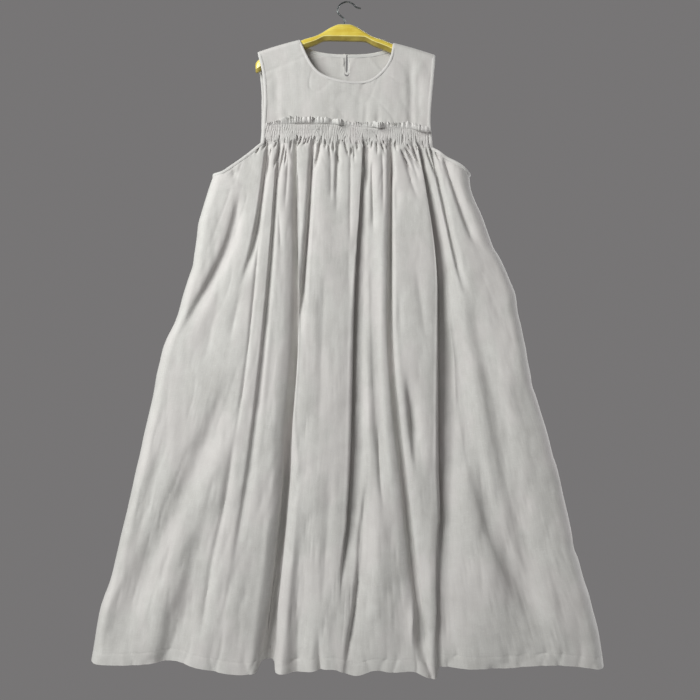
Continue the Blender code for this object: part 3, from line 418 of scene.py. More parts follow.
def round_rings(path, radius, sides, closed=False):
    """Rings of points round a path that lies in an upright plane, facing the front."""
    across = np.cross(directions(path, closed), (0, 1, 0))
    return np.stack([
        path + radius * (math.cos(a) * across + math.sin(a) * np.array([0, 1, 0]))
        for a in turns(sides)
    ], axis=1)


def add_hook():
    arc = [
        (HOOK_CENTRE[0] + HOOK_RADIUS * math.cos(a), HOOK_CENTRE[1] + HOOK_RADIUS * math.sin(a))
        for a in np.radians(np.linspace(*HOOK_BEND, HOOK_BEND_POINTS))
    ]
    corners = np.array([*HOOK_STEM, *arc, *HOOK_FLARE])
    far = far_along(corners)
    at = np.linspace(0, far[-1], WIRE_STATIONS)
    x, z = (soften(through(at, far, corners[:, k]), HOOK_SOFTENING) for k in (0, 1))
    path = np.stack([x, 0 * at, z], axis=1)
    # The tip is filed to a dome.
    left = np.clip((far[-1] - at) / WIRE_RADIUS, 0, 1)
    radius = (WIRE_RADIUS * np.sqrt(1 - (1 - left) ** 2)).clip(HOOK_TIP_RADIUS)[:, None]
    rings = round_rings(path, radius, WIRE_SIDES)
    return hang(add_tube("bent_hook", rings, dark_steel()), "hook_steel", "hanger_hook")


add_hook()

# ------------------------------------------------------------------ yoke
# Two flat-cut panels of pale slubby linen, front and back, sewn together at the shoulders. They
# turn over the shoulder seams, rest on the bar by the neck and hang straight to the shirring,
# whose gathers throw a few soft creases up into them.
LINEN = 0.0010            # thickness of the cloth
SEAM_GAP = 0.0003
SHOULDER_ROUND = 0.012
SHOULDER_SLOPE = 0.24
SHOULDER_BOW = 0.60
SHOULDER_SEAT = 0.00235   # what lies between the bar and the top of the shoulder
NECK_HALF = 0.101
NECK_EASE_START = 0.060
NECK_STEPS = 46
NECK_CROWDING = 1.15
NECK_EDGE = 0.0957        # where the neck's binding rests on the bar
SHOULDER_STEPS = 16
YOKE_ROWS = 74
YOKE_CROWDING = 1.6       # rows lie closer together over the shoulder's turn
YOKE_CALM = 0.05          # below the seam, over which its unevenness comes in
YOKE_CREASE_FADE = 0.05   # length over which a crease deepens
YOKE_CREASE_FOOT = (0.006, 0.4)    # above the shirring, where it is full, and its rise at the seam
# Soft unevenness of the hanging cloth: height, width and length of its patches, a seed, and how
# much higher it grows low down.
YOKE_RIPPLES = ((0.0013, 0.030, 0.110, 11, 0), (0.0005, 0.012, 0.045, 21, 0))
YOKE_CRUMPLE = 0.0009
PUCKER = 0.0009           # of the cloth just above the shirring
PUCKER_REACH = 0.035
NOISE_CELLS = 97          # each way, before the noise repeats
NOISE_SHIFT = 40
# The linen's fine creases: slant to its threads in radians, width and length of their patches.
CRUMPLES = ((0.35, 0.034, 0.080), (-0.6, 0.042, 0.090), (1.2, 0.050, 0.120))
CRUMPLE_SHARPNESS = 9
WEAVE_PITCH = 0.00085     # of the threads that its bump shows
SLOPE_STEP = 0.0005       # half the distance over which a slope is measured
FITTING_ROUNDS = 3        # times that rows are fitted between their free edges
UV_ROW = 0.6              # where, as a share of the way down, the cloth's width is measured
FRONT = -1
BACK = 1

BAND_COLUMNS = ("x", "top_drop")
BAND_ROWS = (
    (-0.180, 0.2620),
    (-0.110, 0.2565),
    (-0.030, 0.2575),
    (0.040, 0.2640),
    (0.110, 0.2660),
    (0.182, 0.2755),
)
ARMHOLE_COLUMNS = ("drop", "front_left", "back_left", "front_right", "back_right")
ARMHOLE_ROWS = (
    (0.095, -0.1820, -0.1820, 0.1810, 0.1810),
    (0.116, -0.1770, -0.1770, 0.1790, 0.1790),
    (0.135, -0.1720, -0.1770, 0.1775, 0.1775),
    (0.165, -0.1675, -0.1745, 0.1750, 0.1750),
    (0.207, -0.1655, -0.1730, 0.1710, 0.1710),
    (0.250, -0.1675, -0.1735, 0.1685, 0.1685),
    (0.295, -0.1705, -0.1765, 0.1725, 0.1725),
    (0.310, -0.1720, -0.1780, 0.1745, 0.1745),
)
NECK_COLUMNS = ("x", "front_drop", "back_drop")
NECK_ROWS = (
    (-0.1010, 0.0820, 0.0820),
    (-0.0985, 0.0890, 0.0860),
    (-0.0950, 0.0965, 0.0895),
    (-0.0907, 0.1055, 0.0925),
    (-0.0800, 0.1275, 0.0975),
    (-0.0573, 0.1530, 0.1035),
    (-0.0290, 0.1650, 0.1070),
    (0.0000, 0.1705, 0.1080),
    (0.0240, 0.1720, 0.1080),
    (0.0507, 0.1680, 0.1060),
    (0.0691, 0.1550, 0.1025),
    (0.0880, 0.1332, 0.0965),
    (0.0962, 0.1145, 0.0915),
    (0.0990, 0.0975, 0.0880),
    (0.1010, 0.0850, 0.0850),
)
# How far the outside of each wall stands from the dress's middle plane.
DEPTH_COLUMNS = ("drop", "front", "back")
DEPTH_ROWS = (
    (0.080, 0.0120, 0.0120),
    (0.120, 0.0120, 0.0120),
    (0.255, 0.0145, 0.0140),
    (0.295, 0.0170, 0.0160),
    (0.360, 0.0270, 0.0230),
    (0.500, 0.0380, 0.0300),
    (0.800, 0.0480, 0.0380),
    (1.372, 0.0580, 0.0450),
)
# Soft creases above the shirring: place, where each begins, half width and depth.
YOKE_CREASES = {
    FRONT: (
        (-0.1455, 0.140, 0.0070, 0.0022), (-0.160, 0.175, 0.0050, 0.0012),
        (-0.090, 0.215, 0.0060, 0.0010), (0.040, 0.196, 0.0045, 0.0020),
        (0.066, 0.205, 0.0045, 0.0018), (0.1335, 0.105, 0.0055, 0.0030),
        (0.149, 0.130, 0.0040, 0.0012), (-0.020, 0.222, 0.0050, 0.0010),
    ),
    BACK: (
        (-0.104, 0.170, 0.0070, 0.0020), (0.072, 0.185, 0.0070, 0.0022),
        (-0.140, 0.200, 0.0050, 0.0014), (0.130, 0.205, 0.0050, 0.0014),
        (-0.040, 0.215, 0.0045, 0.0012),
    ),
}
SLIT_X = 0.0008
SLIT_HALF = 0.0050        # of the hole in the cloth, before its edges are bound
SLIT_END_DROP = 0.150
SLIT_END_POINTS = 13
SLIT_CUT_TOP = -0.090
SLIT_CUT_DEPTHS = (0.004, 0.024)


def word(side):
    return "front" if side == FRONT else "back"


def uneven(u, v, wide, long, seed):
    """Smooth seeded noise from -1 to 1, in patches of about that width and length."""
    heights = np.random.default_rng(seed).uniform(-1, 1, (NOISE_CELLS, NOISE_CELLS))
    a, b = np.asarray(u) / wide + NOISE_SHIFT, np.asarray(v) / long + NOISE_SHIFT
    i, j = np.floor(a).astype(int), np.floor(b).astype(int)
    p, q = ease(a - i), ease(b - j)
    i, j, beside, below = (k % NOISE_CELLS for k in (i, j, i + 1, j + 1))
    upper = heights[i, j] * (1 - p) + heights[beside, j] * p
    lower = heights[i, below] * (1 - p) + heights[beside, below] * p
    return upper * (1 - q) + lower * q


def crumple(x, drop, seed):
    """Fine sharp creases, at slants to each other, that linen keeps when it has been folded."""
    total = 0
    for turn, wide, long in CRUMPLES:
        a = x * math.cos(turn) + drop * math.sin(turn)
        b = drop * math.cos(turn) - x * math.sin(turn)
        seed += 1
        total = total + (1 - np.abs(uneven(a, b, wide, long, seed))) ** CRUMPLE_SHARPNESS
    return total


def linen(name, shade, lit):
    """Plain-weave linen drawn on the cloth's own UV: slubbed threads both ways, pale flecks."""
    finish, shader, place = new_finish(name, "UV")
    warp = place.grain((1250, 48, 0), 3.0)
    weft = place.grain((52, 1250, 0), 3.0)
    broad_warp = place.grain((420, 14, 0), 2.0)
    patches = place.grain((16, 9, 0), 3.0)
    fleck = place.grain((700, 260, 0), 2.0).between(0.60, 0.74)
    cross_fleck = place.grain((230, 760, 0), 2.0).between(0.62, 0.76)
    clouds = place.grain((62, 40, 0), 3.0)
    tone = warp * 0.24 + weft * 0.22 + broad_warp * 0.12 + patches * 0.22 + clouds * 0.20
    body = tone.between(0.31, 0.69).tint((*shade, 1), (*lit, 1))
    blush = (lit[0], lit[1] * 0.955, lit[2] * 0.975, 1)
    body = (place.grain((13, 7, 0), 3.0).between(0.44, 0.60) * 0.42).tint(body, blush)
    pale = tuple(1 - (1 - c) * 0.72 for c in lit)
    colour = ((fleck + cross_fleck) * 0.44).tint(body, (*pale, 1))
    u, v = (place.node("ShaderNodeSeparateXYZ", {}, {"Vector": place}, k) for k in (0, 1))
    waves = math.pi / WEAVE_PITCH
    threads = (u * waves).math("SINE") * (v * waves).math("SINE")
    relief = (warp + weft) * 0.42 + (fleck + cross_fleck) * 0.20 + threads * 0.10
    feed(shader, {
        "Base Color": colour,
        "Roughness": warp.between(0.3, 0.7) * 0.10 + 0.74,
        "Normal": relief.bump(0.55, 0.0005),
        "Sheen Weight": 0.22,
        "Sheen Roughness": 0.45,
        "Specular IOR Level": 0.28,
    })
    return finish


LINEN_FINISH = linen("oatmeal_linen", (0.496, 0.483, 0.464), (0.640, 0.632, 0.612))


def ripples(rows, x, drop, side, low_down=0):
    """Relief of cloth that hangs unevenly, as the rows of a table say."""
    total = 0
    for high, wide, long, seed, growth in rows:
        high = high * (1 + growth * low_down)
        total = total + high * uneven(x, drop, wide, long, seed + side)
    return total


def wall_depth(drop, side):
    return read(DEPTH_ROWS, DEPTH_COLUMNS, word(side), drop)


def shoulder_drop(x):
    """The neck rests on the bar, and the shoulder seam slopes out from it."""
    x = np.asarray(x, float)
    sign = np.where(x < 0, -1.0, 1.0)
    beyond = np.abs(x) - NECK_EDGE
    seat = bar_top(sign * NECK_EDGE) - SHOULDER_SEAT
    return seat + beyond * (SHOULDER_SLOPE + SHOULDER_BOW * np.maximum(beyond, 0))


def yoke_normal(x, drop, side):
    """Outward normal of the yoke: up at the shoulder seam, level below its turn."""
    fall = shoulder_drop(x + SLOPE_STEP) - shoulder_drop(x - SLOPE_STEP)
    up = 1 - np.clip((drop - shoulder_drop(x)) / SHOULDER_ROUND, 0, 1)
    slope = up * fall / (2 * SLOPE_STEP)
    return unit(np.stack([slope, side * np.sqrt(1 - up**2), up], axis=-1))


def neck_drop(x, side):
    """Neck edge of the yoke, eased at each end to meet the shoulder seam."""
    drop = read(NECK_ROWS, NECK_COLUMNS, word(side) + "_drop", x)
    sign = np.where(x < 0, -1.0, 1.0)
    end = read(NECK_ROWS, NECK_COLUMNS, word(side) + "_drop", sign * NECK_HALF)
    near_end = ease((np.abs(x) - NECK_EASE_START) / (NECK_HALF - NECK_EASE_START))
    return drop + (shoulder_drop(sign * NECK_HALF) - end) * near_end


def band_top(x):
    return read(BAND_ROWS, BAND_COLUMNS, "top_drop", x)


def armhole_x(drop, side):
    """x of the left and the right free edge of the yoke and the band."""
    return [
        read(ARMHOLE_ROWS, ARMHOLE_COLUMNS, f"{word(side)}_{name}", drop)
        for name in ("left", "right")
    ]


def yoke_point(x, drop, side):
    """Outside of the yoke: it turns over the shoulder seam and then hangs, a little creased."""
    above = band_top(x) - drop
    foot, sewn = YOKE_CREASE_FOOT
    creases = 0
    for at, start, half, deep in YOKE_CREASES[side]:
        along = ease((drop - start) / YOKE_CREASE_FADE) * ease(above / foot + sewn)
        creases = creases + deep * along / (1 + ((x - at) / half) ** 4)
    below = drop - shoulder_drop(x)
    calm = ease(below / YOKE_CALM)
    ripple = ripples(YOKE_RIPPLES, x, drop, side)
    ripple += PUCKER * uneven(x, drop, 0.007, 0.05, 25 + side) * ease(1 - above / PUCKER_REACH)
    ripple -= YOKE_CRUMPLE * crumple(x, drop, 31 + side)
    turn = np.sqrt(1 - (1 - np.clip(below / SHOULDER_ROUND, 0, 1)) ** 2)
    depth = wall_depth(drop, side) * turn - creases + ripple * calm
    return np.stack([x, side * depth, -drop], axis=-1)


def cloth_uv(grid):
    """Metres of cloth: across from the middle column, measured on one row, and down."""
    row = grid[int(UV_ROW * (len(grid) - 1))]
    across = far_along(row)
    down = np.linalg.norm(np.diff(grid, axis=0), axis=-1)
    down = np.concatenate([-grid[:1, :, 2], down]).cumsum(axis=0)
    return np.stack([across - across[len(row) // 2] + 0 * down, -down], axis=-1)


def add_cloth(name, outer, inner, finish=None):
    """A closed thin shell between two grids of points that match one to one."""
    rows, columns = outer.shape[:2]
    under = rows * columns
    index = np.arange(under).reshape(rows, columns)
    rim = np.concatenate(
        [index[:, 0], index[-1, 1:], index[-2::-1, -1], index[0, -2::-1]]
    )
    faces = quads(index) + quads(index[:, ::-1] + under) + quads(np.stack([rim, rim + under]))
    uv = cloth_uv(outer).reshape(-1, 2)
    points = np.concatenate([outer.reshape(-1, 3), inner.reshape(-1, 3)])
    return add_piece(name, points, faces, finish or LINEN_FINISH, np.concatenate([uv, uv]))


def yoke_grid(side):
    turn = math.pi / 2 * np.linspace(0, 1, NECK_STEPS + 1) ** NECK_CROWDING
    corner = abs(armhole_x(float(shoulder_drop(ARMHOLE_ROWS[0][1])), side)[0])
    shoulder = np.linspace(corner, NECK_HALF, SHOULDER_STEPS + 1)[:-1]
    half = np.concatenate([shoulder, NECK_HALF * np.cos(turn)])
    x_top = np.concatenate([-half, half[-2::-1]])
    on_shoulder = np.abs(x_top) >= NECK_HALF - 1e-9
    top = np.where(on_shoulder, shoulder_drop(x_top), neck_drop(x_top, side))
    first, last = armhole_x(top, side)
    share = (x_top - first) / (last - first)
    share[0], share[-1] = 0, 1
    down = (np.linspace(0, 1, YOKE_ROWS) ** YOKE_CROWDING)[:, None]
    x = x_top + 0 * down
    for _ in range(FITTING_ROUNDS):
        drop = top + (band_top(x) - SEAM_GAP / 2 - top) * down
        left, right = armhole_x(drop, side)
        x = left + (right - left) * share
    grid = yoke_point(x, drop, side)
    grid[0, on_shoulder, 1] = side * SEAM_GAP / 6
    inner = grid - yoke_normal(x, drop, side) * LINEN
    inner[0, on_shoulder, 1] = side * SEAM_GAP / 6
    return grid, inner, on_shoulder


def slit_outline(half, top_z):
    """x and z down the right side of the slit, round its end and up the left side."""
    end_z = half - SLIT_END_DROP
    end = [
        (SLIT_X + half * math.cos(a), end_z + half * math.sin(a))
        for a in np.linspace(0, -math.pi, SLIT_END_POINTS)
    ]
    return [(SLIT_X + half, top_z), *end, (SLIT_X - half, top_z)]


edges = {side: {} for side in (FRONT, BACK)}
yokes = {}
for side in (FRONT, BACK):
    outer, inner, on_shoulder = yoke_grid(side)
    edges[side]["yoke"] = outer, inner, on_shoulder
    yokes[side] = add_cloth(f"linen_{word(side)}_yoke", outer, inner)
cut_with(yokes[BACK], np.array([
    [(x, y, z) for x, z in slit_outline(SLIT_HALF, SLIT_CUT_TOP)] for y in SLIT_CUT_DEPTHS
]))
for side in (FRONT, BACK):
    hang(yokes[side], "linen", f"{word(side)}_yoke")

# ------------------------------------------------------------------ skirt
# Two wide panels of the same linen, front and back, sewn together down the sides and drawn up at the
# top. The gathers run out into long uneven folds: narrow hollows between broad round tubes. A deep
# hem is turned up inside and stitched.
SKIRT_ROWS = 104
SKIRT_COLUMNS = 470
GREAT_FOLDS = {FRONT: (0.335, 0.542, 0.739), BACK: (0.34, 0.60)}    # shares of the panel's width
SKIRT_CROWDING = 1.65
HEM_ROWS_OF_CLOTH = 7
HEM_HEIGHT = 0.024
HEM_CLOTH = 0.0022
HEM_SEAM_DEEP = 0.0005    # how far the stitching draws the cloth in
# Shares of a panel's length: half width of the dent that the stitching makes, from the stitching to
# the rows beside it and to the next ones, and the step up to the hem's thickness.
HEM_SEAM_HALF = 0.0016
HEM_SEAM_ROWS = 0.0015
HEM_SEAM_CLEAR = 0.004
HEM_STEP = 0.002
SIDE_ROUND = 0.026
SIDE_ROUND_GROWTH = 0.006
SIDE_CALM = 0.030         # beside each side seam, over which the relief comes in
TOP_CALM = 0.012          # and below the band
# How columns crowd together: between the band's corners and outside them, and along the great folds.
CROWD_UNDER_BAND = 1.0
CROWD_OUTSIDE = 0.80
CROWD_AT_FOLDS = 2.2
CROWD_HALF = 0.013
CROWD_SAMPLES = 4001
TOP_RELEASE = 5           # how soon the front's threads leave their places in the shirring
BACK_SPREAD = 0.8         # and how evenly the back's spread out
HOLLOW_HALF = 0.006       # from the bottom of the deepest hollow to the dress's middle plane
FLOOR_OPENS = (0.02, 0.22)    # below the band, where a hollow's floor begins to round, and the length
SOFT_FLOOR = 0.8          # how narrow a soft hollow is
TAIL = 0.15               # share of a crisp hollow's depth that runs out in a wide tail
TAIL_HALF = 2.4           # in half widths of the hollow, as the next two are
LIP_PLACE = (2.1, 0.7)    # middle and half width of the lip that stands proud beside it
LEAN_PLACE = (1.25, 0.5)  # and of the cloth that leans over it
CRISP = (0.45, 0.6)       # depth to half width at which a hollow starts to be crisp, and the rise
FULL_PINCH = 0.022        # depth from which its lips lean as far as they go
PINCH = 0.50              # how far a hollow's lips lean over it, as a share of its half width
PINCH_SKEW = 0.0082       # and how far the steep lip of a skewed one does, in metres
PINCH_AT_HEM = 0.2        # share of that lean that is left at the hem
HEM_EASING = (1.24, 0.10)    # where it begins to go, and the length
STEEP_START = 0.9         # where a steep lip begins, in half widths
STEEP_LENGTH = 0.004
STEEP_REACH = 6           # how far its lean reaches beyond, in lengths of the lip
GENTLE_SIDE = 1.3         # how much a skew flattens the other lip
LIP = 0.05                # how far the lips stand proud, as a share of its depth
TUCK = 0.27               # share of a skewed hollow's depth that is tucked under its steep lip
TUCK_HALF = 0.0045
LONG_HOLLOW = (0.8, 1.3)  # drops above which it starts and below which it ends
HOLLOWS_LEVEL = (0.84, 0.16)    # where skewed long hollows become even-sided, and the length
LOWER_SKIRT = (0.70, 0.50)      # where the cloth's relief begins to grow, and the length
# Soft unevenness, as on the yoke, and how much of the growth each takes.
SKIRT_RIPPLES = (
    (0.0022, 0.060, 0.240, 81, 1), (0.0007, 0.022, 0.130, 85, 1), (0.0004, 0.009, 0.050, 91, 0),
)
SKIRT_CRUMPLE = 0.0009
SKIRT_CRUMPLE_GROWTH = 0.0014
STITCH_PITCH = 0.0030
STITCH_LENGTH = 0.0021
STITCH_LIFT = 0.0001      # of the thread's middle above the cloth
STITCH_SIZES = ((0.85,) * 3, (1.1,) * 3)    # least and greatest share of the stated size
STITCH_SEED = 7
STITCH_SIDES = 5
STITCH_RINGS = 4
STITCH_MARGIN = 3         # columns that a line of stitches keeps clear of at each end
THREAD_RADIUS = 0.00022
COTTON = ((0.60, 0.59, 0.57, 1), (0.74, 0.73, 0.71, 1))
SIDE_COLUMNS = ("drop", "left", "right")
SIDE_ROWS = (
    (0.290, -0.2620, 0.2320), (0.364, -0.2780, 0.2555), (0.385, -0.2850, 0.2575),
    (0.412, -0.2935, 0.2663), (0.440, -0.3018, 0.2790), (0.462, -0.3078, 0.2874),
    (0.495, -0.3115, 0.2988), (0.512, -0.3138, 0.3052), (0.528, -0.3163, 0.3154),
    (0.545, -0.3184, 0.3243), (0.578, -0.3290, 0.3383), (0.612, -0.3396, 0.3512),
    (0.645, -0.3483, 0.3551), (0.670, -0.3575, 0.3613), (0.695, -0.3705, 0.3662),
    (0.720, -0.3804, 0.3718), (0.745, -0.3862, 0.3754), (0.778, -0.3939, 0.3821),
    (0.795, -0.3965, 0.3839), (0.811, -0.3992, 0.3900), (0.850, -0.4079, 0.4022),
    (0.895, -0.4185, 0.4160), (0.945, -0.4291, 0.4286), (0.961, -0.4332, 0.4345),
    (1.028, -0.4478, 0.4498), (1.078, -0.4596, 0.4614), (1.111, -0.4677, 0.4673),
    (1.128, -0.4713, 0.4689), (1.145, -0.4754, 0.4765), (1.195, -0.4874, 0.4904),
    (1.228, -0.4999, 0.5018), (1.252, -0.5079, 0.5074), (1.294, -0.5159, 0.5188),
    (1.328, -0.5210, 0.5247), (1.372, -0.5290, 0.5310),
)
# Top edge of the skirt panels: armhole, lower edge of the shirred band, armhole.
TOP_COLUMNS = ("share", "front_x", "back_x", "drop")
TOP_ROWS = (
    (0.000, -0.278, -0.278, 0.3640),
    (0.030, -0.259, -0.259, 0.3625),
    (0.065, -0.232, -0.236, 0.3460),
    (0.110, -0.199, -0.204, 0.3210),
    (0.155, -0.171, -0.177, 0.2985),
    (0.263, -0.135, -0.135, 0.2968),
    (0.335, -0.103, -0.103, 0.2963),
    (0.456, -0.018, -0.018, 0.2970),
    (0.537, 0.040, 0.040, 0.2985),
    (0.659, 0.093, 0.093, 0.2998),
    (0.734, 0.146, 0.146, 0.3035),
    (0.845, 0.174, 0.174, 0.3075),
    (0.905, 0.2045, 0.2045, 0.3290),
    (0.955, 0.236, 0.237, 0.3470),
    (1.000, 0.2555, 0.2555, 0.3640),
)
BAND_SHARES = (0.155, 0.845)
# Short slits between the gathers, which open under the shirring or just inside it: x and drop where
# each begins and ends, half width and depth.
GATHERS = {
    FRONT: (
        (-0.1648, 0.286, -0.1758, 0.316, 0.0016, 0.005), (-0.1554, 0.305, -0.1612, 0.333, 0.0015, 0.004),
        (-0.1442, 0.292, -0.1512, 0.309, 0.0015, 0.005), (-0.1380, 0.299, -0.1517, 0.354, 0.0020, 0.007),
        (-0.1271, 0.295, -0.1422, 0.375, 0.0022, 0.009), (-0.1235, 0.305, -0.1281, 0.350, 0.0017, 0.006),
        (-0.1615, 0.314, -0.1647, 0.379, 0.0024, 0.009), (-0.1040, 0.299, -0.1043, 0.375, 0.0019, 0.008),
        (-0.0927, 0.280, -0.1002, 0.305, 0.0018, 0.008), (-0.1020, 0.278, -0.0978, 0.295, 0.0016, 0.005),
        (-0.0824, 0.284, -0.0875, 0.305, 0.0016, 0.005), (-0.0762, 0.282, -0.0813, 0.301, 0.0015, 0.004),
        (-0.0649, 0.280, -0.0638, 0.299, 0.0015, 0.004), (-0.0535, 0.284, -0.0685, 0.373, 0.0024, 0.010),
        (-0.0693, 0.309, -0.0716, 0.375, 0.0024, 0.007), (-0.0278, 0.292, -0.0260, 0.320, 0.0016, 0.005),
        (-0.0215, 0.312, -0.0132, 0.346, 0.0019, 0.007), (-0.0041, 0.290, 0.0001, 0.318, 0.0016, 0.005),
        (0.0001, 0.305, 0.0028, 0.326, 0.0016, 0.005), (0.0089, 0.305, 0.0073, 0.326, 0.0017, 0.007),
        (0.0345, 0.292, 0.0332, 0.324, 0.0022, 0.009), (0.0332, 0.312, 0.0411, 0.379, 0.0024, 0.009),
        (0.0413, 0.297, 0.0392, 0.314, 0.0015, 0.005), (0.0712, 0.295, 0.0803, 0.318, 0.0018, 0.006),
        (0.0825, 0.301, 0.0855, 0.312, 0.0015, 0.004), (0.0893, 0.290, 0.0944, 0.333, 0.0022, 0.009),
        (0.0937, 0.322, 0.0994, 0.379, 0.0024, 0.009), (0.1123, 0.307, 0.1364, 0.362, 0.0020, 0.008),
        (0.1206, 0.303, 0.1458, 0.346, 0.0021, 0.008), (0.1336, 0.297, 0.1539, 0.358, 0.0020, 0.008),
        (0.1515, 0.297, 0.1670, 0.375, 0.0021, 0.008), (0.1638, 0.301, 0.1885, 0.375, 0.0022, 0.008),
        (0.1720, 0.305, 0.1800, 0.322, 0.0016, 0.005), (0.1412, 0.301, 0.1441, 0.316, 0.0015, 0.004),
        (-0.0432, 0.288, -0.0442, 0.312, 0.0015, 0.004), (-0.0370, 0.297, -0.0328, 0.329, 0.0016, 0.005),
        (0.0196, 0.292, 0.0207, 0.316, 0.0015, 0.004), (0.0537, 0.290, 0.0505, 0.312, 0.0015, 0.004),
        (0.0619, 0.292, 0.0638, 0.324, 0.0017, 0.005), (0.1011, 0.292, 0.1050, 0.316, 0.0016, 0.005),
        (-0.1143, 0.290, -0.1162, 0.316, 0.0016, 0.005), (-0.0144, 0.288, -0.0154, 0.305, 0.0015, 0.004),
        (-0.1812, 0.305, -0.1881, 0.322, 0.0016, 0.005), (0.0135, 0.299, 0.0145, 0.343, 0.0015, 0.004),
        (0.1258, 0.297, 0.1308, 0.312, 0.0015, 0.004), (0.1823, 0.309, 0.1942, 0.337, 0.0018, 0.006),
        # And finer ones between those, all the way across.
        *(
            (x, 0.283 + 0.007 * math.sin(3.9 * k), x * 1.03 + 0.0035 * math.sin(2.3 * k),
             0.304 + 0.011 * math.sin(5.3 * k + 1), 0.0011, 0.0024 + 0.0010 * math.sin(4.7 * k))
            for k, x in ((k, -0.166 + 0.0104 * k + 0.0030 * math.sin(7.7 * k)) for k in range(33))
        ),
    ),
    BACK: tuple(
        (-0.168 + 0.0086 * k + 0.0026 * math.sin(5.1 * k), 0.288 + 0.008 * math.sin(2.9 * k),
         -0.186 + 0.0095 * k + 0.0040 * math.sin(3.3 * k), 0.338 + 0.024 * math.sin(2.3 * k + 1),
         0.0018, 0.0065 + 0.0020 * math.sin(3.7 * k))
        for k in range(40)
    ),
}
GATHER_STRENGTH = 1.35
GATHER_BEND = 1.2         # how much of its slant lies low down
GATHER_FADES = (0.22, 0.55)    # shares of its length over which it opens and closes
GATHER_SPREAD = 0.7       # of the half width at its top, and gained by its end
GATHER_CRISP = 1.5
FLOOR_ROUND = 0.3         # how round the floor of a narrow crease is
SHIRRING_PITCH = 0.0043
SHIRRING_DEEP = 0.0013     # of the tiny pleats that the gathering threads draw up
SHIRRING_LEFT = 0.95       # share of it that is left at the last thread
SHIRRING_RUN_OUT = 0.026   # how far below the last thread they can still be seen
RUN_OUT_UNEVEN = 0.65      # share of that by which it varies
PLEAT_ROUND = 0.7          # under 1, so that pleats are broad and the grooves narrow
PLEAT_MEAN = 0.62          # height of a pleat's profile that counts as level
PLEAT_LIVELY = (0.72, 0.62)    # mean height of the pleats, and how far it varies
# Lines that the front skirt's threads follow, along its main folds.
GUIDE_DROPS = (0.297, 0.500, 0.800, 1.100, 1.372)
GUIDE_ROWS = (
    (0.147, -0.178, -0.215, -0.285, -0.355, -0.405),
    (0.263, -0.135, -0.150, -0.175, -0.215, -0.255),
    (0.335, -0.103, -0.099, -0.103, -0.132, -0.166),
    (0.456, -0.018, -0.022, -0.035, -0.060, -0.075),
    (0.537, 0.036, 0.022, 0.013, 0.001, -0.014),
    (0.659, 0.093, 0.091, 0.100, 0.121, 0.135),
    (0.734, 0.146, 0.173, 0.184, 0.182, 0.188),
    (0.856, 0.176, 0.214, 0.272, 0.320, 0.385),
)
HEM_COLUMNS = ("x", "front", "back")
HEM_ROWS = (
    (-0.529, 1.357, 1.357),
    (-0.450, 1.359, 1.362),
    (-0.355, 1.355, 1.364),
    (-0.300, 1.366, 1.366),
    (-0.210, 1.378, 1.368),
    (-0.184, 1.376, 1.366),
    (-0.176, 1.359, 1.366),
    (-0.148, 1.359, 1.366),
    (-0.142, 1.377, 1.366),
    (-0.100, 1.376, 1.365),
    (-0.030, 1.367, 1.368),
    (0.018, 1.379, 1.370),
    (0.060, 1.369, 1.368),
    (0.093, 1.373, 1.366),
    (0.130, 1.371, 1.366),
    (0.180, 1.388, 1.368),
    (0.190, 1.366, 1.369),
    (0.215, 1.366, 1.370),
    (0.320, 1.365, 1.368),
    (0.420, 1.358, 1.366),
    (0.470, 1.361, 1.367),
    (0.531, 1.370, 1.370),
)
